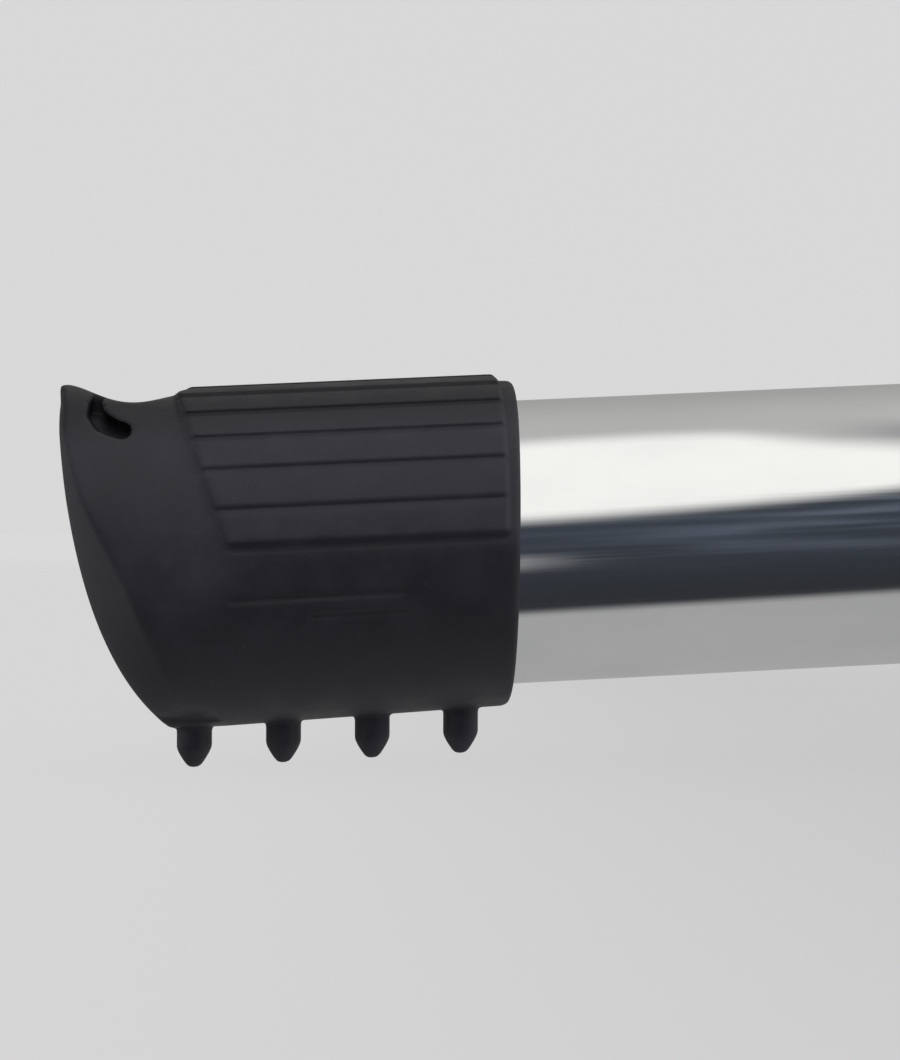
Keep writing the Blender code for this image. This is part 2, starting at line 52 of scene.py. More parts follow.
# Places worked out from the frame.
CAP_LOW, CAP_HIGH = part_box("right_end_cap")
BAR_LOW, BAR_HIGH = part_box("crossbar_tube")
ARM_X = (CAP_LOW.x + CAP_HIGH.x) / 2
CAP_MOUTH_Y = CAP_HIGH.y
CAP_LENGTH = CAP_HIGH.y - CAP_LOW.y
AXIS = (BAR_LOW + BAR_HIGH) / 2
ARM_REACH = AXIS.y - CAP_LOW.y
ARM_SLOPE = radians(2.9)
SLOPE = tan(ARM_SLOPE)
GAP = 0.3 * MM
ARM_RADIUS = 19.05 * MM
CROSSBAR_RADIUS = (BAR_HIGH.z - BAR_LOW.z) / 2
TUBE_WALL = 1.65 * MM
BEND_RADIUS = 120 * MM
ARM_BEND_STEPS = 40
ARM_CHAMFER = 0.4 * MM
LIP = 0.3 * MM
TUBE_SIDES = 96
SMOOTH_ANGLE = 35
LOCK_X = sum(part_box("right_lock_bolt")[side].x for side in (0, 1)) / 2


# ---- camera, stage and light

CAMERA_LENS = 80
CAMERA_CLIP = 0.01
CAMERA_DISTANCE = 0.3169
CAMERA_FROM_MOUTH = -0.0289
CAMERA_HEIGHT = 0.03184
CAMERA_YAW = radians(3.77)
CAMERA_ROLL = radians(0.22)
STAGE_RADIUS = 14.0
STAGE_GLOW = 0.94
STAGE_SHADED = 0.08
WALL_TONE = (0.778, 0.778, 0.778)
FLOOR_LEFT = (0.752, 0.748, 0.757)
# The tone of the painted shade patch on the floor near the object.
FLOOR_PAINTED_SHADE = (0.645, 0.645, 0.645)


def new_object(name, data):
    made = bpy.data.objects.new(name, data)
    bpy.context.scene.collection.objects.link(made)
    return made


@contextlib.contextmanager
def edited(mesh):
    """A bmesh of a mesh, which is written back when the block ends."""
    bm = bmesh.new()
    bm.from_mesh(mesh)
    yield bm
    bm.to_mesh(mesh)
    bm.free()


def add_camera():
    """A level camera just outside the right arm, looking almost square across its end."""
    data = bpy.data.cameras.new("camera")
    data.lens = CAMERA_LENS
    data.clip_start = CAMERA_CLIP
    camera = new_object("camera", data)
    ahead = Vector((-cos(CAMERA_YAW), sin(CAMERA_YAW), 0))
    level = Vector((sin(CAMERA_YAW), cos(CAMERA_YAW), 0))
    upright = level.cross(ahead)
    right = level * cos(CAMERA_ROLL) + upright * sin(CAMERA_ROLL)
    up = upright * cos(CAMERA_ROLL) - level * sin(CAMERA_ROLL)
    turn = Matrix((right, up, -ahead)).transposed()
    place = Vector((ARM_X + CAMERA_DISTANCE, CAP_MOUTH_Y + CAMERA_FROM_MOUTH, CAMERA_HEIGHT))
    camera.matrix_world = Matrix.Translation(place) @ turn.to_4x4()
    bpy.context.scene.camera = camera


def is_output(value):
    return isinstance(value, bpy.types.NodeSocket)


def feed(socket, value):
    """Set a shader input, or link it to another node's output."""
    if is_output(value):
        socket.id_data.links.new(value, socket)
    else:
        socket.default_value = value


def add_node(kind, inputs, tree=None, **settings):
    """A shader node, in the tree of the outputs that feed it unless another is given."""
    made = (tree or next(v.id_data for v in inputs.values() if is_output(v))).nodes.new(kind)
    for key, value in settings.items():
        setattr(made, key, value)
    for key, value in inputs.items():
        feed(made.inputs[key], value)
    return made


def coordinates(tree, kind="Object"):
    return add_node("ShaderNodeTexCoord", {}, tree).outputs[kind]


def split(vector):
    return add_node("ShaderNodeSeparateXYZ", {0: vector}).outputs


def maths(operation, *values):
    return add_node("ShaderNodeMath", dict(enumerate(values)), operation=operation).outputs[0]


def product(first, *others):
    for other in others:
        first = maths("MULTIPLY", first, other)
    return first


def vector_maths(operation, vector, others, output):
    return add_node("ShaderNodeVectorMath", {0: vector, **others}, operation=operation).outputs[output]


def ease(value, low, high, start=0.0, end=1.0):
    """Smooth step of a value from one limit to another."""
    inputs = {"Value": value, "From Min": low, "From Max": high, "To Min": start, "To Max": end}
    return add_node("ShaderNodeMapRange", inputs, interpolation_type="SMOOTHSTEP").outputs[0]


def blend(factor, first, second):
    """A colour between two, which are outputs or three numbers each."""
    first, second = (c if is_output(c) else (*c, 1.0) for c in (first, second))
    return add_node("ShaderNodeMix", {0: factor, 6: first, 7: second}, data_type="RGBA").outputs[2]


def stretched(vector, scale):
    return add_node("ShaderNodeMapping", {"Vector": vector, "Scale": scale}).outputs[0]


def noise(vector, scale, detail=3.0, roughness=0.5):
    inputs = {"Vector": vector, "Scale": scale, "Detail": detail, "Roughness": roughness}
    return add_node("ShaderNodeTexNoise", inputs).outputs[0]


def bump(height, depth, **under):
    inputs = {"Height": height, "Distance": depth, **under}
    return add_node("ShaderNodeBump", inputs).outputs[0]


def pale_material():
    """A plain pale surface that glows a little, so that it stays even; a patch of painted shade makes the floor a
    little darker on its +Y side near the object, and it fades to the wall's tone far away."""
    made = bpy.data.materials.new("pale_floor")
    made.use_nodes = True
    made.node_tree.nodes.clear()
    place = add_node("ShaderNodeNewGeometry", {}, made.node_tree).outputs["Position"]
    x, y, z = split(place)
    away = vector_maths("LENGTH", place, {}, "Value")
    # A patch of painted shade on the floor near the object.
    patch = product(ease(y, -0.27, -0.13), ease(y, 0.1, 0.4, 1.0, 0.0), ease(x, 0.1, 0.4))
    near = blend(patch, FLOOR_LEFT, FLOOR_PAINTED_SHADE)
    tone = blend(ease(away, 0.55, 2.2), near, WALL_TONE)
    glow = add_node("ShaderNodeEmission", {"Color": tone, "Strength": STAGE_GLOW}).outputs[0]
    matt = add_node("ShaderNodeBsdfDiffuse", {"Color": tone}).outputs[0]
    both = add_node("ShaderNodeMixShader", {0: STAGE_SHADED, 1: glow, 2: matt}).outputs[0]
    add_node("ShaderNodeOutputMaterial", {"Surface": both})
    return made


def add_stage():
    """A pale floor and a pale dome round it, which only the camera sees."""
    material = pale_material()
    floor, dome = (bpy.data.meshes.new(name) for name in ("studio_floor", "studio_dome"))
    with edited(floor) as bm:
        bmesh.ops.create_circle(bm, cap_ends=True, segments=96, radius=STAGE_RADIUS)
    with edited(dome) as bm:
        bmesh.ops.create_uvsphere(bm, u_segments=96, v_segments=48, radius=STAGE_RADIUS - 0.1)
        bmesh.ops.reverse_faces(bm, faces=bm.faces)
    for mesh in (floor, dome):
        mesh.materials.append(material)
        mesh.shade_smooth()
        item = new_object(mesh.name, mesh)
        for ray in ("diffuse", "glossy", "transmission", "shadow"):
            setattr(item, f"visible_{ray}", False)


# The surroundings' tones, then the edges of the bright bank and the dark room in degrees round the
# arm. An edge is a curve of a direction's distance from SQUARE_ON along the arm: (bend, slope, start).
# The limits are the highest low edge and the lowest high edge of the bank.
BANK_TONE = (0.985, 0.985, 0.945)
ROOM_TONES = ((0.029, 0.031, 0.036), (0.041, 0.049, 0.064))
HAZE_TONE = (0.125, 0.145, 0.185)
LAMP_TONE = (0.34, 0.34, 0.35)
BELOW_TONE = (0.385, 0.385, 0.380)
ABOVE_TONES = ((0.49, 0.49, 0.475), (0.37, 0.372, 0.36))
SHADE_TONE = (0.20, 0.20, 0.22)
BEHIND_TONE = (0.05, 0.05, 0.055)
NEAR_END_GREYS = (0.27, 0.55)
FAR_END_GREYS = (0.40, 0.80)
SQUARE_ON = 0.0995
BANK_LOW_EDGE = (343.0, 45.0, 19.6)
BANK_HIGH_BEND = -860.0
BANK_HIGH_ENDS = (88.0, 77.5)
BANK_LIMITS = (60.0, 62.0)
ROOM_LOW_EDGE = (24.0, -60.4)
LAMP_ANGLE = radians(-17)
LAMP_SIDE = 0.27
LAMP_STRETCH = 3.2


def grey(value):
    return (value,) * 3


def room_tone(direction, angle, across):
    """The dark room behind the camera, with cloudy reflections and the streak of a lamp."""
    room = blend(ease(angle, -58.0, 12.0), *ROOM_TONES)
    cloud = noise(direction, 9.0, 4.0)
    haze = product(ease(cloud, 0.42, 0.66), ease(across, 0.02, 0.12, 0.25, 0.8), ease(angle, -35.0, 10.0))
    room = blend(haze, room, HAZE_TONE)
    squeezed = stretched(direction, (1.0, LAMP_STRETCH, 1.0))
    lamp_place = (cos(LAMP_ANGLE), LAMP_SIDE, sin(LAMP_ANGLE))
    lamp = vector_maths("DISTANCE", squeezed, {1: lamp_place}, "Value")
    return blend(ease(lamp, 0.04, 0.18, 1.0, 0.0), room, LAMP_TONE)


def above_tone(past_bank, angle, across):
    """The grey above the bank, with a darker stripe just over it."""
    above = blend(ease(angle, 95.0, 165.0), *ABOVE_TONES)
    shade = product(ease(past_bank, 4.0, 12.0), ease(past_bank, 14.0, 34.0, 1.0, 0.0),
                    ease(across, 0.06, 0.14, 0.0, 0.75))
    return blend(shade, above, SHADE_TONE)


def add_world():
    """Studio surroundings by direction: a bright bank above the camera side, a dark room behind the
    camera, and grey above and below. Their edges bend a little along the arm, as a tilted bank's do."""
    world = bpy.data.worlds.new("studio")
    bpy.context.scene.world = world
    world.use_nodes = True
    world.node_tree.nodes.clear()
    direction = coordinates(world.node_tree, "Generated")
    x, y, z = split(direction)
    angle = maths("MULTIPLY", maths("ARCTAN2", z, x), 180 / pi)
    across = maths("SUBTRACT", y, SQUARE_ON)
    squared = product(across, across)
    bend, slope, start = BANK_LOW_EDGE
    bank_low = maths("MULTIPLY_ADD", squared, bend, maths("MULTIPLY_ADD", across, slope, start))
    bank_high = maths("MULTIPLY_ADD", squared, BANK_HIGH_BEND, ease(across, 0.03, 0.085, *BANK_HIGH_ENDS))
    room_low = maths("MULTIPLY_ADD", across, *ROOM_LOW_EDGE)
    over_bank = maths("SUBTRACT", angle, maths("MINIMUM", bank_low, BANK_LIMITS[0]))
    past_bank = maths("SUBTRACT", angle, maths("MAXIMUM", bank_high, BANK_LIMITS[1]))
    over_floor = maths("SUBTRACT", angle, room_low)
    tone = blend(ease(over_floor, -4.0, 5.0), BELOW_TONE, room_tone(direction, angle, across))
    tone = blend(ease(over_bank, -9.0, 5.0), tone, BANK_TONE)
    tone = blend(ease(past_bank, -8.0, 9.0), tone, above_tone(past_bank, angle, across))

    # Directions that the tube in the photo's view doesn't mirror, which light the caps.
    behind = ease(maths("ABSOLUTE", angle), 95.0, 125.0)
    flag = product(behind, ease(y, -0.38, -0.12, 0.8, 0.0))
    tone = blend(flag, tone, BEHIND_TONE)
    off_axis = ease(maths("ABSOLUTE", across), 0.25, 0.45)
    tone = blend(product(off_axis, ease(angle, 48.0, 75.0, 0.0, 0.75)), tone, grey(0.18))
    tone = blend(product(off_axis, ease(angle, -75.0, -45.0, 0.6, 0.0)), tone, grey(0.12))
    beside = product(ease(y, -0.6, -0.3, 1.0, 0.0), ease(angle, -25.0, 5.0), ease(angle, 20.0, 60.0, 1.0, 0.0))
    tone = blend(beside, tone, grey(0.55))
    near_end, far_end = (blend(ease(z, -0.6, 0.6), grey(low), grey(high))
                         for low, high in (NEAR_END_GREYS, FAR_END_GREYS))
    ends = blend(ease(y, -0.1, 0.1), near_end, far_end)
    tone = blend(ease(maths("ABSOLUTE", y), 0.55, 0.85), tone, ends)
    back = add_node("ShaderNodeBackground", {"Color": tone}).outputs[0]
    add_node("ShaderNodeOutputWorld", {"Surface": back})


# ---- materials

# The darker and the lighter tone of each.
CAP_RUBBER = ((0.054, 0.051, 0.064), (0.070, 0.066, 0.082))
PAD_RUBBER = ((0.020, 0.020, 0.021), (0.034, 0.034, 0.035))
BLACK_NYLON = ((0.014, 0.014, 0.015), (0.021, 0.021, 0.022))
GREY_VINYL = ((0.20, 0.205, 0.21), (0.25, 0.255, 0.26))
CAP_IOR = 1.38


def new_material(name, metallic=0.0, ior=1.5):
    made = bpy.data.materials.new(name)
    made.use_nodes = True
    inputs = made.node_tree.nodes["Principled BSDF"].inputs
    inputs["Metallic"].default_value = metallic
    inputs["IOR"].default_value = ior
    return made


def dress(material, tone, rough, normal):
    """Give a material's own shader its colour, roughness and bumps."""
    inputs = material.node_tree.nodes["Principled BSDF"].inputs
    for key, value in (("Base Color", tone), ("Roughness", rough), ("Normal", normal)):
        feed(inputs[key], value)
    return material


def polished_aluminium():
    """Bright drawn tube: fine marks along its length, faint smudges and handling marks."""
    made = new_material("polished_aluminium", 1.0)
    uv = coordinates(made.node_tree, "UV")
    lines = noise(stretched(uv, (5.0, 2600.0, 1.0)), 1.0, 4.0, 0.6)
    smudge = noise(stretched(uv, (35.0, 60.0, 1.0)), 1.0, 5.0, 0.55)
    dents = noise(stretched(uv, (18.0, 22.0, 1.0)), 1.0, 2.0)
    tone = blend(ease(smudge, 0.35, 0.7), (0.91, 0.915, 0.92), (0.86, 0.865, 0.88))
    rough = maths("ADD", ease(lines, 0.3, 0.75, 0.045, 0.105), ease(smudge, 0.45, 0.75, 0.0, 0.05))
    return dress(made, tone, rough, bump(lines, 0.0000022, Normal=bump(dents, 0.00006)))


def cap_painted_shading(place):
    """How much painted light and shade scale the caps' rubber tone: painted light on the ribs, and more softly
    on the toe. Painted shade darkens it below the ribs and on the top. Lengths are in millimetres."""
    x, y, z = split(place)
    along = maths("MULTIPLY_ADD", y, -1000.0, -1000.0 * (AXIS.y - CAP_MOUTH_Y))
    height = maths("MULTIPLY", maths("MULTIPLY_ADD", y, -SLOPE, z), 1000.0)
    # Painted light on the ribs, a little less towards the toe, painted shade below the ribs and on the top, and
    # painted light on the studs.
    toe = ease(along, 31.0, 45.0)
    rib_foot = ease(height, maths("MULTIPLY_ADD", toe, -13.0, -1.5), 1.6)
    side = maths("MULTIPLY_ADD", rib_foot, 0.44, 0.79)
    top = ease(height, 14.0, 20.5, 1.0, 0.42)
    studs = ease(height, -23.5, -21.5, 1.35, 1.0)
    return product(side, top, ease(along, 38.0, 52.0, 1.0, 0.86), studs)


def rubber(name, tones, roughness, grain_depth, ior=1.5, painted_shading=None):
    """Moulded rubber: slight mottling, dusty patches, a fine mould grain and any given painted light and shade."""
    made = new_material(name, ior=ior)
    place = coordinates(made.node_tree)
    mottle = noise(place, 180.0, 4.0, 0.6)
    dust = noise(place, 900.0, 3.0, 0.65)
    tone = blend(ease(mottle, 0.3, 0.72), *tones)
    tone = blend(ease(dust, 0.62, 0.85, 0.0, 0.35), tone, tuple(2.2 * c for c in tones[1]))
    # Painted light and shade, which scale the tone by place.
    if painted_shading:
        tone = vector_maths("SCALE", tone, {"Scale": painted_shading(place)}, "Vector")
    rough = maths("ADD", ease(mottle, 0.3, 0.7, *roughness), ease(dust, 0.5, 0.9, 0.0, 0.08))
    return dress(made, tone, rough, bump(noise(place, 5200.0, 2.0), grain_depth))


def mill_aluminium():
    """Extruded plate: fine lines along X, dull sheen, light handling marks."""
    made = new_material("mill_aluminium", 1.0)
    place = coordinates(made.node_tree)
    lines = noise(stretched(place, (9.0, 1400.0, 1400.0)), 1.0, 4.0, 0.6)
    patches = noise(place, 60.0, 4.0, 0.55)
    specks = noise(place, 700.0, 2.0)
    tone = blend(ease(patches, 0.35, 0.7), (0.66, 0.665, 0.67), (0.56, 0.565, 0.575))
    tone = blend(ease(lines, 0.45, 0.8, 0.0, 0.5), tone, (0.74, 0.745, 0.75))
    rough = maths("ADD", ease(lines, 0.3, 0.7, 0.24, 0.36), ease(specks, 0.5, 0.8, 0.0, 0.08))
    return dress(made, tone, rough, bump(lines, 0.000012))


def zinc_steel():
    """Bright zinc plating: faint spangle, a cool tint with a few warm patches."""
    made = new_material("zinc_steel", 1.0)
    place = coordinates(made.node_tree)
    cells = add_node("ShaderNodeTexVoronoi", {"Vector": place, "Scale": 900.0}).outputs["Color"]
    spangle = add_node("ShaderNodeRGBToBW", {0: cells}).outputs[0]
    patches = noise(place, 220.0, 3.0)
    tone = blend(spangle, (0.60, 0.62, 0.64), (0.70, 0.71, 0.72))
    tone = blend(ease(patches, 0.52, 0.75, 0.0, 0.45), tone, (0.68, 0.66, 0.57))
    rough = maths("ADD", ease(spangle, 0.0, 1.0, 0.22, 0.33), ease(patches, 0.4, 0.7, 0.0, 0.08))
    return dress(made, tone, rough, bump(noise(place, 3800.0, 2.0), 0.000006))


def moulded(name, tones, roughness, grain_scale, grain_depth):
    """Moulded plastic: an even spark-eroded grain over slight shading."""
    made = new_material(name)
    place = coordinates(made.node_tree)
    cells = add_node("ShaderNodeTexVoronoi", {"Vector": place, "Scale": grain_scale}).outputs["Distance"]
    mottle = noise(place, 130.0, 4.0, 0.6)
    tone = blend(ease(mottle, 0.3, 0.7), *tones)
    return dress(made, tone, ease(mottle, 0.3, 0.7, *roughness), bump(cells, grain_depth))


# ---- mesh building

def link_mesh(name, verts, faces, material):
    """A named, smoothly shaded object from vertices and faces."""
    mesh = bpy.data.meshes.new(name)
    mesh.from_pydata([tuple(v) for v in verts], [], [tuple(f) for f in faces])
    mesh.shade_smooth()
    mesh.materials.append(material)
    return new_object(name, mesh)


def skin(name, verts, faces, material, smooth=SMOOTH_ANGLE, uvs=None):
    """A closed skin that faces outward, with its sharp edges marked."""
    made = link_mesh(name, verts, faces, material)
    if uvs:
        layer = made.data.uv_layers.new(name="UVMap")
        layer.data.foreach_set("uv", np.array(uvs, np.float32).ravel())
    with edited(made.data) as bm:
        bmesh.ops.recalc_face_normals(bm, faces=bm.faces)
    made.data.set_sharp_from_angle(angle=radians(smooth))
    return made


def ring_faces(rings, sides, loop):
    """Quads between neighbouring rings of equal counts, which may close into a loop."""
    faces = []
    for index in range(rings if loop else rings - 1):
        start, after = index * sides, (index + 1) % rings * sides
        for step in range(sides):
            far = (step + 1) % sides
            faces.append((start + step, after + step, after + far, start + far))
    return faces


def show_as(piece, node, body):
    """Attach a piece to the body it rides on and hide the CAD node it stands for."""
    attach(piece, body)
    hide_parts(node)


def circle(sides):
    return [2 * pi * step / sides for step in range(sides)]


CELL_CORNERS = ((0, 0), (1, 0), (1, 1), (0, 1))


def surface_net(values, low, steps):
    """Vertices and quads of the surface where a grid of values crosses zero; inside is negative."""
    cells = tuple(n - 1 for n in values.shape)
    total = np.zeros((*cells, 3), np.float32)
    count = np.zeros(cells, np.float32)

    def corner(offset):
        window = tuple(slice(o, o + n) for o, n in zip(offset, cells))
        return values[window]

    for axis in range(3):
        first, second = (axis + 1) % 3, (axis + 2) % 3
        for a, b in CELL_CORNERS:
            start = [0, 0, 0]
            start[first], start[second] = a, b
            end = list(start)
            end[axis] = 1
            near, far = corner(start), corner(end)
            crossed = (near < 0) != (far < 0)
            total[..., axis] += np.where(crossed, near / np.where(crossed, near - far, 1), 0)
            total[..., first] += crossed * a
            total[..., second] += crossed * b
            count += crossed
    used = count > 0
    index = np.full(cells, -1, np.int64)
    index[used] = np.arange(used.sum())
    verts = low + (np.argwhere(used) + total[used] / count[used][:, None]) * steps
    quads = []
    inside = values < 0
    for axis in range(3):
        first, second = (axis + 1) % 3, (axis + 2) % 3
        near = np.take(inside, range(values.shape[axis] - 1), axis)
        far = np.take(inside, range(1, values.shape[axis]), axis)
        at = np.argwhere(near != far)
        keep = (at[:, first] > 0) & (at[:, second] > 0)
        keep &= (at[:, first] < cells[first]) & (at[:, second] < cells[second])
        at = at[keep]
        ring = []
        for a, b in CELL_CORNERS:
            shifted = at.copy()
            shifted[:, first] -= a
            shifted[:, second] -= b
            ring.append(index[tuple(shifted.T)])
        ring = np.stack(ring, 1)
        leaving = near[tuple(at.T)]
        ring[~leaving] = ring[~leaving][:, ::-1]
        quads.append(ring)
    return verts, np.concatenate(quads)


def grid(low, high, steps, kind):
    """Coordinates along three axes, which broadcast to a whole grid."""
    counts = [ceil((h - l) / s) + 1 for l, h, s in zip(low, high, steps)]
    axes = [l + s * np.arange(n, dtype=kind) for l, s, n in zip(low, steps, counts)]
    return np.meshgrid(*axes, indexing="ij", sparse=True)


def soft_max(a, b, size):
    """The larger of two distances, with a round of about that size where they meet."""
    share = np.clip(0.5 + 0.5 * (a - b) / size, 0, 1)
    return b + (a - b) * share + size * share * (1 - share)


def soft_min(a, b, size):
    return -soft_max(-a, -b, size)


def bezier(controls, count):
    t = np.linspace(0, 1, count)[:, None]
    points = np.asarray(controls, float)
    return ((1 - t) ** 3 * points[0] + 3 * t * (1 - t) ** 2 * points[1]
            + 3 * t * t * (1 - t) * points[2] + t ** 3 * points[3])


def smoothstep(value, low, high):
    t = np.clip((value - low) / (high - low), 0, 1)
    return t * t * (3 - 2 * t)


# ---- the end caps

# Sizes in millimetres. u runs from the mouth to the toe, x across and z up from the tube's axis.
# Angles round the barrel are in degrees up from level, and ARC is a degree's length. RIB_END is the
# ribs' end at the axis and its slant; LOWER_GROOVES lists angle, start, end and depth.
CAP_STEP = (0.30, 0.42, 0.30)
CAP_BOX = ((-25.2, -1.2, -29.4), (25.2, 61.8, 25.8))
CAP_ROUND = 21.8
ARC = radians(1) * CAP_ROUND
CAP_TOE = 24.0
RIB_HEIGHT = 0.98
RIB_SLOPE = 0.24
RIB_SAMPLES = 3601
RIB_BLUR = 9
GROOVE_DEPTH = 0.2
GROOVE_WIDTH = 1.25
UNDERSIDE = (21.95, 22.75)
CAP_BORE = 19.35
CAP_BORE_DEPTH = 42.3
COLLAR = 1.9
MOUTH_DISH = 0.5
MOUTH_TILT = 0.009
MOUTH_ROUND = 1.1
RIB_END = (36.7, 0.36)
RIB_EDGES = (4.0, 15.9, 29.9, 43.0, 56.0, 70.5, 86.5)
LOWER_GROOVES = ((-14.4, 14.5, 37.5, 0.30), (-21.0, 14.0, 27.5, 0.26))
TOE_START = 43.8
HOLLOW = ((43.0, 22.7), (50.0, 19.2), (52.3, 20.6), (58.5, 23.95))
ROCKER = ((60.0, 23.95), (60.1, 6.0), (56.3, -13.2), (46.0, -22.3))
BOW_HEIGHTS = (-22.0, -12.0, -3.3, 0.4, 8.0, 17.0, 24.0)
BOW_DEPTHS = (4.5, 6.6, 6.4, 5.5, 2.9, 1.0, 0.3)
SLOT_LINE = ((54.3, 22.8), (54.75, 20.4), (54.5, 19.0), (53.5, 17.8), (52.2, 17.1), (50.85, 16.6))
SLOT_HALVES = (0.5, 0.8, 1.05, 1.2, 1.15, 1.1)
SLOT_WEB = 6.0
SLOT_DEPTH = 2.8
STUD_FIRST = 6.5
STUD_PITCH = 11.9
STUD_COUNT = 4
STUD_RADIUS = 2.35
STUD_SHOULDER = 25.3
STUD_TIP = 28.1


def slot_distance(u, z):
    """Distance in the side view outside a bent slot whose half width changes along it."""
    nearest = np.full(np.broadcast(u, z).shape, 1e9, np.float32)
    rows = list(zip(SLOT_LINE, SLOT_HALVES))
    for ((u0, z0), half0), ((u1, z1), half1) in zip(rows, rows[1:]):
        du, dz = u1 - u0, z1 - z0
        t = np.clip(((u - u0) * du + (z - z0) * dz) / (du * du + dz * dz), 0, 1)
        away = np.hypot(u - u0 - t * du, z - z0 - t * dz) - half0 - t * (half1 - half0)
        nearest = np.minimum(nearest, away)
    return nearest


def rib_height(angle):
    """Height of the stepped ribs round the barrel: each one stands proudest at its lower edge, and
    dips into a narrow groove under the next."""
    height = np.zeros_like(angle)
    edges = RIB_EDGES + (180 - RIB_EDGES[-1],)
    for low, high in zip(edges, edges[1:]):
        share = (angle - low) / (high - low)
        from_top = (high - angle) * ARC
        rib = RIB_HEIGHT - RIB_SLOPE * share - GROOVE_DEPTH * (1 - smoothstep(from_top, 0.2, GROOVE_WIDTH))
        height = np.where((angle >= low) & (angle < high), rib, height)
    return height


def blurred(values, width):
    """A weighted running mean, which rounds the steps of a profile."""
    kernel = np.hanning(width + 2)[1:-1]
    return np.convolve(np.pad(values, width, mode="edge"), kernel / kernel.sum(), mode="same")[width:-width]


def cap_side(x, u, z):
    """Distance outside the barrel of the cap, which has ribs above and is smooth below."""
    radius = np.hypot(x, z)
    angle = np.degrees(np.arctan2(z, np.abs(x)))
    fine = np.linspace(-90, 90, RIB_SAMPLES)
    ribs = np.interp(angle, fine, blurred(rib_height(fine), RIB_BLUR))
    growth = np.clip((u - TOE_START) / (CAP_LENGTH / MM - TOE_START), 0, 1)
    barrel = CAP_ROUND + (CAP_TOE - CAP_ROUND) * growth ** 1.5
    slanted = (RIB_END[0] + RIB_END[1] * z - u) / hypot(1, RIB_END[1])
    ribbed = smoothstep(slanted, -0.5, 0.5) * smoothstep(u, COLLAR, COLLAR + 0.45)
    low = RIB_EDGES[0]
    upper = smoothstep(angle, low - 0.6, low + 0.2)
    taper = np.clip(u / 38, 0, 1)
    underside = UNDERSIDE[0] + (UNDERSIDE[1] - UNDERSIDE[0]) * taper - CAP_ROUND
    underside = underside * smoothstep(-angle, -2.0, 25.0) * (1 - growth)
    under_rib = ARC * np.abs(angle - low + 1.2)
    notch = 0.3 * ribbed * (1 - smoothstep(under_rib, 0.2, 0.8))
    surface = barrel + ribbed * ribs + (1 - upper) * (underside - notch)
    for place, start, end, depth in LOWER_GROOVES:
        groove = np.abs(angle - place) * ARC
        along = smoothstep(u, start, start + 0.9) * smoothstep(-u, -end, -end + 0.9)
        surface = surface - depth * along * (1 - smoothstep(groove, 0.15, 0.6))
    return radius - surface


def stud_side(x, u, z):
    """Distance outside the row of studs: short pegs with blunt pointed ends."""
    nearest = np.full(np.broadcast(x, u, z).shape, 1e9, np.float32)
    down = np.clip((-z - STUD_SHOULDER) / (STUD_TIP - STUD_SHOULDER), 0, 1)
    peg = STUD_RADIUS * (1 - 0.68 * down ** 1.35)
    for index in range(STUD_COUNT):
        around = np.hypot(x, u - STUD_FIRST - index * STUD_PITCH)
        nearest = np.minimum(nearest, around - peg)
    nearest = soft_max(nearest, -z - STUD_TIP, 0.5)
    return np.maximum(nearest, z + CAP_BORE + 1)


def cap_field(x, u, z):
    """Distance-like value, negative inside the rubber."""
    rocker = bezier(ROCKER, 80)[::-1]
    front = np.interp(z, rocker[:, 1], rocker[:, 0])
    lean = np.interp(z, rocker[:, 1], np.gradient(rocker[:, 0], rocker[:, 1]))
    flank = np.sqrt(np.maximum(CAP_ROUND ** 2 - z ** 2, 30.0))
    across = np.minimum(np.abs(x) / flank, 1.3)
    bow = np.interp(z, BOW_HEIGHTS, BOW_DEPTHS) * across ** 2
    nose = (u - front + bow) / np.sqrt(1 + lean ** 2)
    hollow = bezier(HOLLOW, 60)
    rim = np.interp(u, hollow[:, 0], hollow[:, 1], left=40.0, right=HOLLOW[-1][1])
    side = cap_side(x, u, z)
    solid = soft_max(side, nose, 0.9)
    solid = soft_max(solid, (z - rim) * 0.9, 0.6)
    mouth = MOUTH_DISH * (x / CAP_ROUND) ** 2 - MOUTH_TILT * z
    solid = soft_max(solid, mouth - u, MOUTH_ROUND)
    slot = np.maximum(np.maximum(slot_distance(u, z), SLOT_WEB - np.abs(x)), -SLOT_DEPTH - side)
    solid = soft_max(solid, -slot, 0.3)
    solid = soft_min(solid, stud_side(x, u, z), 0.45)
    bore = soft_max(np.hypot(x, z) - CAP_BORE, u - CAP_BORE_DEPTH, 0.4)
    return soft_max(solid, -bore, 0.35)


def make_cap(name, material):
    """The cap's skin, with its mouth at u = 0 and its axis following the arm's slope."""
    low, high = (np.array(corner) for corner in CAP_BOX)
    field = cap_field(*grid(low, high, CAP_STEP, np.float32)).astype(np.float32)
    verts, faces = surface_net(field, low, CAP_STEP)
    reach = (AXIS.y - CAP_MOUTH_Y) + verts[:, 1] * MM
    placed = np.stack((verts[:, 0] * MM, -reach, verts[:, 2] * MM - reach * SLOPE), 1)
    return link_mesh(name, placed, faces[:, ::-1], material)


def add_caps(material):
    mesh = None
    for name, side in SIDES.items():
        title = f"{name}_cap_rubber"
        cap = new_object(title, mesh) if mesh else make_cap(title, material)
        mesh = cap.data
        cap.location = (side * ARM_X, AXIS.y, AXIS.z)
        show_as(cap, f"{name}_end_cap", f"{name}_arm")


# ---- swept and turned shapes

def path_frames(path, normal):
    """The direction square to a flat path at each of its points."""
    frames = []
    for index in range(len(path)):
        before, after = path[max(index - 1, 0)], path[min(index + 1, len(path) - 1)]
        frames.append(normal.cross((after - before).normalized()))
    return frames


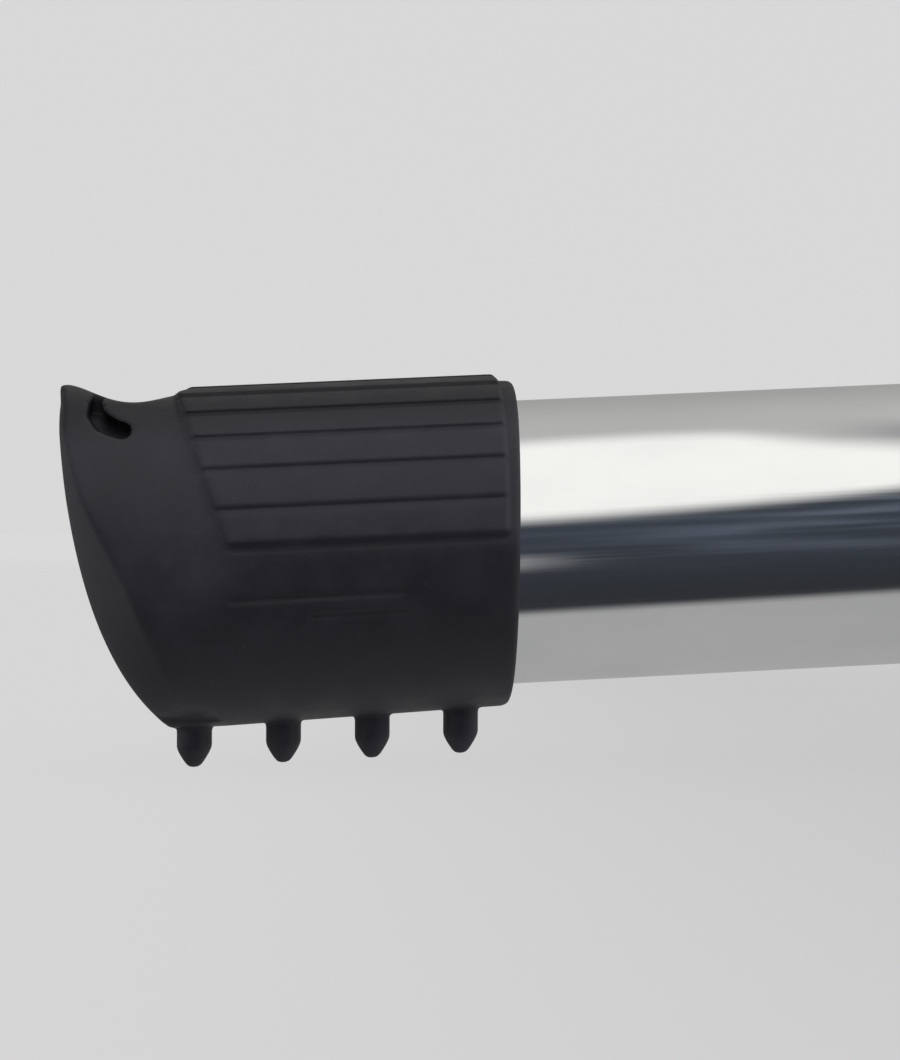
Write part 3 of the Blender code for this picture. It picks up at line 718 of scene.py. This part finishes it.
def swept_loop(name, path, normal, loop, sides, material):
    """Rings along a flat path, joined into one closed skin. The loop lists (path point, radius);
    UVs run in metres along the path and round it."""
    lengths = [0.0]
    for before, after in zip(path, path[1:]):
        lengths.append(lengths[-1] + (after - before).length)
    frames = path_frames(path, normal)
    verts, uvs = [], []
    for index, radius in loop:
        for angle in circle(sides):
            offset = normal * cos(angle) + frames[index] * sin(angle)
            verts.append(path[index] + offset * radius)
    around = 2 * pi * loop[0][1] / sides
    for (start, _), (end, _) in zip(loop, loop[1:] + loop[:1]):
        first, second = lengths[start], lengths[end]
        for step in range(sides):
            low, high = step * around, (step + 1) * around
            uvs += [(first, low), (second, low), (second, high), (first, high)]
    return skin(name, verts, ring_faces(len(loop), sides, True), material, uvs=uvs)


def arm_path(side):
    """Centre line of an arm, from inside the crossbar round the bend to the cap."""
    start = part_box("right_arm_tube")[0].x
    outward = Vector((side, 0, 0))
    reach = Vector((0, -cos(ARM_SLOPE), -sin(ARM_SLOPE)))
    tip = (ARM_REACH - CAP_LENGTH + CAP_BORE_DEPTH * MM - GAP) / cos(ARM_SLOPE) - ARM_RADIUS * SLOPE
    path = [outward * start, outward * (start + ARM_CHAMFER)]
    for step in range(ARM_BEND_STEPS + 1):
        angle = pi / 2 * step / ARM_BEND_STEPS
        out = ARM_X - BEND_RADIUS + BEND_RADIUS * sin(angle)
        path.append(outward * out + reach * (BEND_RADIUS * (1 - cos(angle))))
    path += [outward * ARM_X + reach * distance for distance in (tip - ARM_CHAMFER, tip)]
    return [AXIS + p for p in path], outward.cross(reach).normalized()


def pipe_loop(last, outer, inner, chamfer):
    """Outer skin from one end to the other, then the inner skin back, with chamfered lips."""
    outside = [(0, outer - chamfer)] + [(i, outer) for i in range(1, last)] + [(last, outer - chamfer)]
    return outside + [(last, inner), (0, inner)]


def add_arms(material):
    inner = ARM_RADIUS - TUBE_WALL
    for name, side in SIDES.items():
        path, normal = arm_path(side)
        last = len(path) - 1
        loop = pipe_loop(last, ARM_RADIUS, inner, LIP)
        loop[-1:-1] = [(i, inner) for i in range(last - 1, 0, -1)]
        arm = swept_loop(f"{name}_arm_tube_finish", path, normal, loop, TUBE_SIDES, material)
        cut(arm, [slot_cutter(side * LOCK_X, LOCK_TRAVEL + GAP)])
        show_as(arm, f"{name}_arm_tube", f"{name}_arm")


# ---- general shapes

LOOKS = {}
PROTOTYPES = {}
THREAD_STEPS = 6


def rounded(corners, size, steps=3):
    """A closed outline with each corner turned into a small curve."""
    points = [np.asarray(c, float) for c in corners]
    count = len(points)
    result = []
    for index, point in enumerate(points):
        before, after = points[index - 1], points[(index + 1) % count]
        into, out = before - point, after - point
        near, far = np.hypot(*into), np.hypot(*out)
        start = point + into / near * min(size, 0.45 * near)
        end = point + out / far * min(size, 0.45 * far)
        for step in range(steps + 1):
            t = step / steps
            curve = (1 - t) ** 2 * start + 2 * t * (1 - t) * point + t * t * end
            result.append(tuple(curve))
    return result


def plane_of(axis):
    """Two directions square to an axis."""
    helper = Vector((0, 0, 1)) if abs(axis.z) < 0.9 else Vector((1, 0, 0))
    first = axis.cross(helper).normalized()
    return first, axis.cross(first).normalized()


def turned_rings(axis, profile, sides, shape=None):
    """Rings round an axis from (distance, radius) pairs. The shape gives a factor by angle and ring."""
    first, second = plane_of(axis)
    rings = []
    for number, (distance, radius) in enumerate(profile):
        ring = []
        for angle in circle(sides):
            size = radius if shape is None else radius * shape(angle, number)
            ring.append(axis * distance + (first * cos(angle) + second * sin(angle)) * size)
        rings.append(ring)
    return rings


def lofted(name, rings, material, loop=False, smooth=SMOOTH_ANGLE):
    """A closed skin through rings of equal counts: a loop of rings, or a run with both ends filled."""
    sides = len(rings[0])
    verts = [v for ring in rings for v in ring]
    faces = ring_faces(len(rings), sides, loop)
    if not loop:
        faces.append(tuple(range(sides)))
        faces.append(tuple(reversed(range(len(verts) - sides, len(verts)))))
    return skin(name, verts, faces, material, smooth)


def prism(name, outline, half_width, material):
    """A flat (y, z) outline drawn out along X."""
    rings = [[Vector((x, y, z)) for y, z in outline] for x in (-half_width, half_width)]
    return lofted(name, rings, material)


def cut(item, tools):
    """Take tool shapes out of a piece and drop the tools."""
    for tool in tools:
        modifier = item.modifiers.new("cut", "BOOLEAN")
        modifier.operation = "DIFFERENCE"
        modifier.solver = "EXACT"
        modifier.object = tool
    bpy.context.view_layer.update()
    graph = bpy.context.evaluated_depsgraph_get()
    whole = item.evaluated_get(graph)
    old = item.data
    item.data = bpy.data.meshes.new_from_object(whole, preserve_all_data_layers=True, depsgraph=graph)
    item.modifiers.clear()
    bpy.data.meshes.remove(old)
    for tool in tools:
        bpy.data.objects.remove(tool)
    item.data.set_sharp_from_angle(angle=radians(SMOOTH_ANGLE))


def soften(item, width, segments=2, angle=45):
    """Round a piece's sharp edges."""
    with edited(item.data) as bm:
        sharp = [e for e in bm.edges if len(e.link_faces) == 2 and e.calc_face_angle(0) > radians(angle)]
        bmesh.ops.bevel(bm, geom=sharp, offset=width, segments=segments, profile=0.5, affect="EDGES",
                        clamp_overlap=True)
    item.data.shade_smooth()
    item.data.set_sharp_from_angle(angle=radians(32))


def place(node, body, slot, place_at, build, *details):
    """Put a finished piece in a CAD node's place. Pieces built alike share one mesh."""
    key = (build, details)
    if key in PROTOTYPES:
        made = new_object(f"{node}_finish", PROTOTYPES[key])
    else:
        made = build(LOOKS[slot], *details)
        made.name = f"{node}_finish"
        PROTOTYPES[key] = made.data
    made.location = place_at
    show_as(made, node, body)


def hexagon(angle):
    """Radius factor of a hexagon with its corners at the factor 1."""
    turn = (angle + pi / 6) % (pi / 3) - pi / 6
    return cos(pi / 6) / cos(turn)


def thread_factor(angle, distance, pitch, depth):
    """Radius taken off by a screw thread, at an angle and a distance along it."""
    phase = (distance / pitch - angle / (2 * pi)) % 1.0
    return depth * min(1.0, max(0.0, abs(phase - 0.5) * 2.6 - 0.25))


def turned_bolt(name, axis, head, rod, length, thread, material, sides, smooth, socket=()):
    """A bolt turned from its head's profile and its rod. The thread is (start, length, pitch, depth,
    chamfer of the tip, rings over which it fades in); the socket lists the hexagonal rings."""
    start, run, pitch, depth, tip, fade_rings = thread
    steps = int(run / (pitch / THREAD_STEPS))
    profile = head + [(start + run * step / steps, rod) for step in range(steps + 1)] + [(length, rod - tip)]

    def shape(angle, number):
        if number in socket:
            return hexagon(angle)
        turned = number - len(head)
        if not 0 <= turned <= steps:
            return 1.0
        fade = min(1.0, turned / fade_rings)
        return 1 - fade * thread_factor(angle, profile[number][0], pitch, depth) / rod

    return lofted(name, turned_rings(axis, profile, sides, shape), material, smooth=smooth)


# ---- crossbar and locks

SLOT_RADIUS = 4.6 * MM
LOCK_TRAVEL = 35 * MM
BUSHING_DEPTH = 18 * MM
LOCK_BOLT_RADIUS = 4 * MM
KNOB_HEIGHT = 13.0 * MM
KNOB_LOBE = 2.2 * MM
# The knob's section: height and radius in millimetres, and the share of the lobes.
KNOB_SECTION = (
    (0.0, 7.6, 0), (0.0, 8.6, 0.2), (0.5, 9.4, 0.3), (2.2, 12.6, 0.85), (3.6, 14.3, 1), (4.6, 14.9, 1),
    (5.6, 15.0, 1), (10.0, 15.0, 1), (11.3, 14.7, 1), (12.2, 14.0, 0.95), (12.8, 13.0, 0.9), (13.0, 12.0, 0.8),
    (12.9, 11.2, 0.7), (12.3, 10.4, 0.5), (12.0, 9.6, 0.3), (12.0, 8.4, 0), (12.3, 7.9, 0), (12.9, 7.5, 0),
    (13.0, 7.0, 0), (13.0, 4.8, 0), (12.6, 4.3, 0), (0.4, 4.3, 0), (0.0, 4.7, 0),
)


def slot_cutter(x, half_length):
    outline = []
    for end, start in ((half_length, -pi / 2), (-half_length, pi / 2)):
        for step in range(17):
            angle = start + pi * step / 16
            outline.append((end + SLOT_RADIUS * cos(angle), SLOT_RADIUS * sin(angle)))
    reach = CROSSBAR_RADIUS * 1.4
    rings = [[AXIS + Vector((x + a, b, height)) for a, b in outline] for height in (-reach, reach)]
    return lofted("slot_tool", rings, PLAIN)


def add_crossbar(material):
    half, chamfer = BAR_HIGH.x, 0.5 * MM
    path = [Vector((x, AXIS.y, AXIS.z)) for x in (-half, -half + chamfer, half - chamfer, half)]
    loop = pipe_loop(3, CROSSBAR_RADIUS, CROSSBAR_RADIUS - TUBE_WALL, 0.4 * MM)
    bar = swept_loop("crossbar_tube_finish", path, Vector((0, 0, 1)), loop, TUBE_SIDES, material)
    cut(bar, [slot_cutter(side * LOCK_X, GAP) for side in SIDES.values()])
    show_as(bar, "crossbar_tube", "crossbar")


def make_bushing(material, name):
    low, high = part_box(f"{name}_mouth_bushing")
    bore, sleeve = ARM_RADIUS + GAP, CROSSBAR_RADIUS - TUBE_WALL - GAP
    mouth, end = BUSHING_DEPTH + GAP, high.x - low.x
    corners = [(0, bore), (0, sleeve), (mouth, sleeve), (mouth, CROSSBAR_RADIUS), (end, CROSSBAR_RADIUS), (end, bore)]
    rings = turned_rings(Vector((SIDES[name], 0, 0)), rounded(corners, 0.8 * MM), TUBE_SIDES)
    return lofted("bushing", rings, material, loop=True)


def make_lock_bolt(material):
    """Carriage bolt: a domed head below, a plain shank and a screw thread up through the knob."""
    low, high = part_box("right_lock_bolt")
    length, head, seat = high.z - low.z, (high.x - low.x) / 2, 3.6 * MM
    profile = [(0.02 * MM, head * 0.2), (0.25 * MM, head * 0.5), (0.8 * MM, head * 0.75), (1.6 * MM, head * 0.92)]
    profile += [(2.6 * MM, head), (seat - 0.2 * MM, head), (seat, head - 0.2 * MM), (seat, LOCK_BOLT_RADIUS)]
    thread = (length - 27 * MM, 26 * MM, 1.25 * MM, 0.72 * MM, 1.0 * MM, 10)
    axis = Vector((0, 0, 1))
    return turned_bolt("lock_bolt", axis, profile, LOCK_BOLT_RADIUS, length, thread, material, 32, 50)


def make_saddle(material):
    """A washer whose underside follows the crossbar."""
    low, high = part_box("right_lock_saddle")
    outer, bore = (high.x - low.x) / 2, LOCK_BOLT_RADIUS + GAP
    top, edge = high.z - AXIS.z, 0.35 * MM

    def under(radius, angle):
        return sqrt((CROSSBAR_RADIUS + GAP) ** 2 - (radius * sin(angle)) ** 2)

    columns = []
    for angle in circle(64):
        section = [(bore, top), (outer - edge, top), (outer, top - edge), (outer, under(outer, angle) + edge),
                   (outer - edge, under(outer - edge, angle)), (bore, under(bore, angle)), (bore, top - LIP)]
        columns.append([Vector((r * cos(angle), r * sin(angle), z)) for r, z in section])
    return lofted("saddle", list(zip(*columns)), material, loop=True)


def make_knob(material):
    """Five-lobed hand knob with a rounded rim, a dished top and a raised boss round its bolt."""
    low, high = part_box("right_lock_knob")
    taller = (high.z - low.z) / KNOB_HEIGHT
    rings = []
    for lift, radius, wave in KNOB_SECTION:
        reaches = [(radius * MM + KNOB_LOBE * wave * cos(5 * a), a) for a in circle(160)]
        rings.append([Vector((r * cos(a), r * sin(a), lift * taller * MM)) for r, a in reaches])
    return lofted("knob", rings, material, loop=True, smooth=50)


def add_locks():
    for name, side in SIDES.items():
        centre = Vector((side * LOCK_X, AXIS.y, 0))
        node = f"{name}_mouth_bushing"
        low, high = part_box(node)
        mouth = Vector((low.x if side > 0 else high.x, AXIS.y, AXIS.z))
        place(node, "crossbar", "black_nylon", mouth, make_bushing, name)
        foot = Vector((0, 0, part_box("right_lock_bolt")[0].z))
        place(f"{name}_lock_bolt", "crossbar", "zinc_steel", centre + foot, make_lock_bolt)
        node = f"{name}_lock_saddle"
        place(node, node, "black_nylon", centre + Vector((0, 0, AXIS.z)), make_saddle)
        node = f"{name}_lock_knob"
        place(node, node, "black_nylon", centre + Vector((0, 0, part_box(node)[0].z)), make_knob)


# ---- rail clamps

RAIL_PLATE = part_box("right_rail_plate")
CLAMP_X = (RAIL_PLATE[0].x + RAIL_PLATE[1].x) / 2
PLATE_HALF_WIDTH = (RAIL_PLATE[1].x - RAIL_PLATE[0].x) / 2
PLATE_HALF_HEIGHT = (RAIL_PLATE[1].z - RAIL_PLATE[0].z) / 2
PLATE_OUTER = RAIL_PLATE[1].y - AXIS.y
PLATE_THICKNESS = RAIL_PLATE[1].y - RAIL_PLATE[0].y
PLATE_CORNER = 7 * MM
PLATE_LINES = [share * 20.5 * MM for share in (0.72, 0.62, -0.62, -0.72)]
PAD_RIBS = 26
PAD_RIB_HEIGHT = 0.75 * MM
U_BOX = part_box("right_upper_u_bolt")
U_RADIUS = (U_BOX[1].z - U_BOX[0].z) / 2
U_HALF_SPACING = (U_BOX[1].x - U_BOX[0].x) / 2 - U_RADIUS
U_HEIGHT = (U_BOX[0].z + U_BOX[1].z) / 2 - AXIS.z
U_CORNER = 10 * MM
U_BEND_STEPS = 14
U_BACK = U_BOX[1].y - U_RADIUS - AXIS.y
U_START = U_BOX[0].y - AXIS.y
U_PITCH = 1.27 * MM
U_THREAD_END = 6 * MM
HOLE_RADIUS = 3.8 * MM
HEAD_CLEARANCE = 6.4 * MM


def along_y_cutter(x, z, radius, low, high, sides=32):
    rings = turned_rings(Vector((0, 1, 0)), [(low, radius), (high, radius)], sides)
    return lofted("hole_tool", [[v + Vector((x, 0, z)) for v in ring] for ring in rings], PLAIN)


def make_plate(material, facing):
    """Extruded plate with a round seat for the crossbar, shallow stiffening lines and rounded edges."""
    seat, inner = CROSSBAR_RADIUS + GAP, PLATE_OUTER - PLATE_THICKNESS
    spread = acos(inner / seat)
    top = PLATE_HALF_HEIGHT
    outline = [(inner, top), (PLATE_OUTER, top)]
    for height in PLATE_LINES:
        for shift, depth in ((0.9, 0), (0.45, 0.45), (-0.45, 0.45), (-0.9, 0)):
            outline.append((PLATE_OUTER - depth * MM, height + shift * MM))
    outline += [(PLATE_OUTER, -top), (inner, -top)]
    for step in range(41):
        angle = -spread + 2 * spread * step / 40
        outline.append((seat * cos(angle), seat * sin(angle)))
    plate = prism("plate", [(facing * y, z) for y, z in outline], PLATE_HALF_WIDTH, material)
    with edited(plate.data) as bm:
        at_corner = {v for v in bm.verts if abs(abs(v.co.x) - PLATE_HALF_WIDTH) < GAP
                     and abs(abs(v.co.z) - top) < GAP}
        corners = [e for e in bm.edges if at_corner.issuperset(e.verts)
                   and abs(e.verts[0].co.y - e.verts[1].co.y) > GAP]
        bmesh.ops.bevel(bm, geom=corners, offset=PLATE_CORNER, segments=8, profile=0.5, affect="EDGES")
    cut(plate, [along_y_cutter(x, level * U_HEIGHT, HOLE_RADIUS, -0.05, 0.05)
                for level in LEVELS.values() for x in (-U_HALF_SPACING, 0, U_HALF_SPACING)])
    soften(plate, 0.45 * MM)
    return plate


def make_pad(material):
    """Rubber pad, ribbed across its ladder face, with clearance for the bolt heads."""
    low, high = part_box("right_rail_pad")
    near, far = low.y - AXIS.y, high.y - AXIS.y
    half = (high.z - low.z) / 2
    pitch = 2 * half / PAD_RIBS
    foot = far - PAD_RIB_HEIGHT
    outline = [(near, -half), (foot, -half)]
    for rib in range(PAD_RIBS):
        base = -half + rib * pitch
        outline += [(y, base + share * pitch) for share, y in ((0.12, foot), (0.3, far), (0.82, far), (1.0, foot))]
    outline.append((near, half))
    pad = prism("pad", outline, (high.x - low.x) / 2, material)
    cut(pad, [along_y_cutter(0, level * U_HEIGHT, HEAD_CLEARANCE, near - 0.01, far + 0.01, 48)
              for level in LEVELS.values()])
    soften(pad, 0.18 * MM, 1, 50)
    return pad


def make_clamp_bolt(material):
    """Button-head bolt with a hexagon socket, pointing to -Y, with a thread at its end."""
    low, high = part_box("right_upper_clamp_bolt")
    length, head = high.y - low.y, (high.x - low.x) / 2
    rod = seat = 3.0 * MM
    profile = [(1.7 * MM, 0.7 * MM), (1.7 * MM, 2.0 * MM), (0.05 * MM, 2.05 * MM), (0.02 * MM, 2.5 * MM)]
    profile += [(0.25 * MM, 3.6 * MM), (0.85 * MM, 4.7 * MM), (1.7 * MM, 5.45 * MM), (2.5 * MM, head)]
    profile += [(seat - 0.1 * MM, head), (seat, head - 0.15 * MM), (seat, rod)]
    thread = (length - 13.5 * MM, 13 * MM, 1.0 * MM, 0.6 * MM, 0.6 * MM, 8)
    axis = Vector((0, -1, 0))
    return turned_bolt("clamp_bolt", axis, profile, rod, length, thread, material, 36, 45, socket=(1, 2))


def make_clamp_nut(material):
    """Hexagon nut with chamfered corners."""
    low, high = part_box("right_upper_clamp_nut")
    height, corner, bore, lip = high.y - low.y, (high.x - low.x) / 2, 3.3 * MM, 0.45 * MM
    flat = corner * cos(pi / 6)
    columns = []
    for angle in circle(72):
        edge = corner * hexagon(angle)
        drop = max(0.0, edge - flat * 0.99) * 0.55
        section = [(bore + lip, 0), (flat * 0.95, 0), (edge, drop), (edge, height - drop), (flat * 0.95, height),
                   (bore + lip, height), (bore, height - lip), (bore, lip)]
        columns.append([Vector((cos(angle) * r, -y, sin(angle) * r)) for r, y in section])
    return lofted("clamp_nut", list(zip(*columns)), material, loop=True, smooth=28)


def u_path(start):
    """Square U in the XY plane, from one leg's end to the other's."""
    middle, back = U_HALF_SPACING - U_CORNER, U_BACK - U_CORNER
    path = [Vector((-U_HALF_SPACING, start, 0))]
    for side, first in ((-1, pi), (1, pi / 2)):
        for step in range(U_BEND_STEPS + 1):
            angle = first - pi / 2 * step / U_BEND_STEPS
            path.append(Vector((side * middle + U_CORNER * cos(angle), back + U_CORNER * sin(angle), 0)))
    path.append(Vector((U_HALF_SPACING, start, 0)))
    return path


def make_u_bolt(material):
    """Bent rod with a screw thread on both legs."""
    first = U_START + 0.7 * MM
    steps = int((U_THREAD_END - U_START) / (U_PITCH / THREAD_STEPS))
    leg = [U_START] + [first + (U_THREAD_END - first) * n / steps for n in range(steps + 1)]
    path = [Vector((-U_HALF_SPACING, y, 0)) for y in leg] + u_path(leg[-1])[1:-1]
    path += [Vector((U_HALF_SPACING, y, 0)) for y in reversed(leg)]
    normal = Vector((0, 0, 1))
    rings = []
    for index, side in enumerate(path_frames(path, normal)):
        from_end = min(index, len(path) - 1 - index)
        ring = []
        for angle in circle(20):
            radius = U_RADIUS
            if from_end == 0:
                radius -= 0.75 * MM
            elif from_end <= steps + 1:
                fade = min(1.0, (steps + 1 - from_end) / 12)
                turn = angle if index < len(path) / 2 else -angle
                radius -= fade * thread_factor(turn, path[index].y, U_PITCH, 0.62 * MM)
            ring.append(path[index] + (normal * cos(angle) + side * sin(angle)) * radius)
        rings.append(ring)
    return lofted("u_bolt", rings, material, smooth=50)


def make_sleeve(material):
    """Soft sleeve over the back of the U-bolt."""
    low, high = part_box("right_upper_u_sleeve")
    outer = (high.z - low.z) / 2
    inner = U_RADIUS + GAP
    path = u_path(low.y - AXIS.y)
    last = len(path) - 1
    loop = pipe_loop(last, outer, inner, LIP)
    loop[-1:-1] = [(i, inner) for i in range(last - 1, 0, -1)]
    return swept_loop("sleeve", path, Vector((0, 0, 1)), loop, 28, material)


def make_washer(material):
    low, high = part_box("right_upper_inner_washer")
    outer, height, bore = (high.x - low.x) / 2, high.y - low.y, U_RADIUS + GAP
    corners = [(0, bore), (0, outer), (height, outer), (height, bore)]
    rings = turned_rings(Vector((0, -1, 0)), rounded(corners, 0.35 * MM, 2), 56)
    return lofted("washer", rings, material, loop=True)


def make_wing_nut(material):
    """Cast wing nut: a tapered hub with fillets to two round-ended wings. Sizes in millimetres."""
    steps = (0.42, 0.42, 0.42)
    low, high = np.array((-14.3, -0.9, -7.2)), np.array((14.3, 14.4, 7.2))
    x, y, z = grid(low, high, steps, np.float64)
    around = np.hypot(x, z)
    hub = soft_max(around - (6.4 - 0.13 * y), np.abs(y - 4.5) - 4.5, 0.7)
    root, run = (4.6, 4.3), (6.7, 7.0)
    t = np.clip(((np.abs(x) - root[0]) * run[0] + (y - root[1]) * run[1]) / (run[0] ** 2 + run[1] ** 2), 0, 1)
    flat = np.hypot(np.abs(x) - root[0] - run[0] * t, y - root[1] - run[1] * t) - (3.1 - 0.9 * t)
    wing = soft_max(flat, np.abs(z) - (1.45 - 0.35 * t), 0.8)
    bore = around - 3.5 - np.maximum(0, 0.5 - y) - np.maximum(0, y - 8.5)
    solid = soft_max(soft_max(soft_min(hub, wing, 1.3), -y, 0.3), -bore, 0.25)
    verts, faces = surface_net(solid, low, steps)
    return link_mesh("wing_nut", verts * (MM, -MM, MM), faces, material)


def place_along_y(node, body, slot, at, build):
    """Put a piece whose +Y end is the CAD node's at a place across X and Z."""
    place(node, body, slot, Vector((at.x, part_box(node)[1].y, at.z)), build)


def add_clamps():
    for name, side in SIDES.items():
        clamp = f"{name}_clamp"
        centre = Vector((side * CLAMP_X, AXIS.y, AXIS.z))
        place(f"{name}_rail_plate", clamp, "mill_aluminium", centre, make_plate, 1)
        place(f"{name}_back_plate", clamp, "mill_aluminium", centre, make_plate, -1)
        place(f"{name}_rail_pad", clamp, "pad_rubber", centre, make_pad)
        for level_name, level in LEVELS.items():
            group = f"{name}_{level_name}"
            middle = centre + Vector((0, 0, level * U_HEIGHT))
            place_along_y(f"{group}_clamp_bolt", clamp, "zinc_steel", middle, make_clamp_bolt)
            place_along_y(f"{group}_clamp_nut", clamp, "zinc_steel", middle, make_clamp_nut)
            bolt = f"{group}_u_bolt"
            place(bolt, bolt, "zinc_steel", middle, make_u_bolt)
            place(f"{group}_u_sleeve", bolt, "grey_vinyl", middle, make_sleeve)
            for place_name, inward in PLACES.items():
                leg = middle + Vector((side * inward * U_HALF_SPACING, 0, 0))
                place_along_y(f"{group}_{place_name}_washer", clamp, "zinc_steel", leg, make_washer)
                nut = f"{group}_{place_name}_wing_nut"
                place_along_y(nut, nut, "zinc_steel", leg, make_wing_nut)


# ---- everything together

bpy.context.scene.view_settings.view_transform = "Standard"
PLAIN = bpy.data.materials.new("tool")
add_camera()
add_stage()
add_world()
LOOKS.update(
    # The caps' rubber gets painted light and shade.
    black_rubber=rubber("black_rubber", CAP_RUBBER, (0.46, 0.60), 0.00001, CAP_IOR, cap_painted_shading),
    pad_rubber=rubber("pad_rubber", PAD_RUBBER, (0.62, 0.80), 0.00002),
    polished_aluminium=polished_aluminium(),
    mill_aluminium=mill_aluminium(),
    zinc_steel=zinc_steel(),
    black_nylon=moulded("black_nylon", BLACK_NYLON, (0.36, 0.48), 2600.0, 0.00002),
    grey_vinyl=moulded("grey_vinyl", GREY_VINYL, (0.34, 0.46), 1500.0, 0.00001),
)
add_caps(LOOKS["black_rubber"])
add_arms(LOOKS["polished_aluminium"])
add_crossbar(LOOKS["polished_aluminium"])
add_locks()
add_clamps()
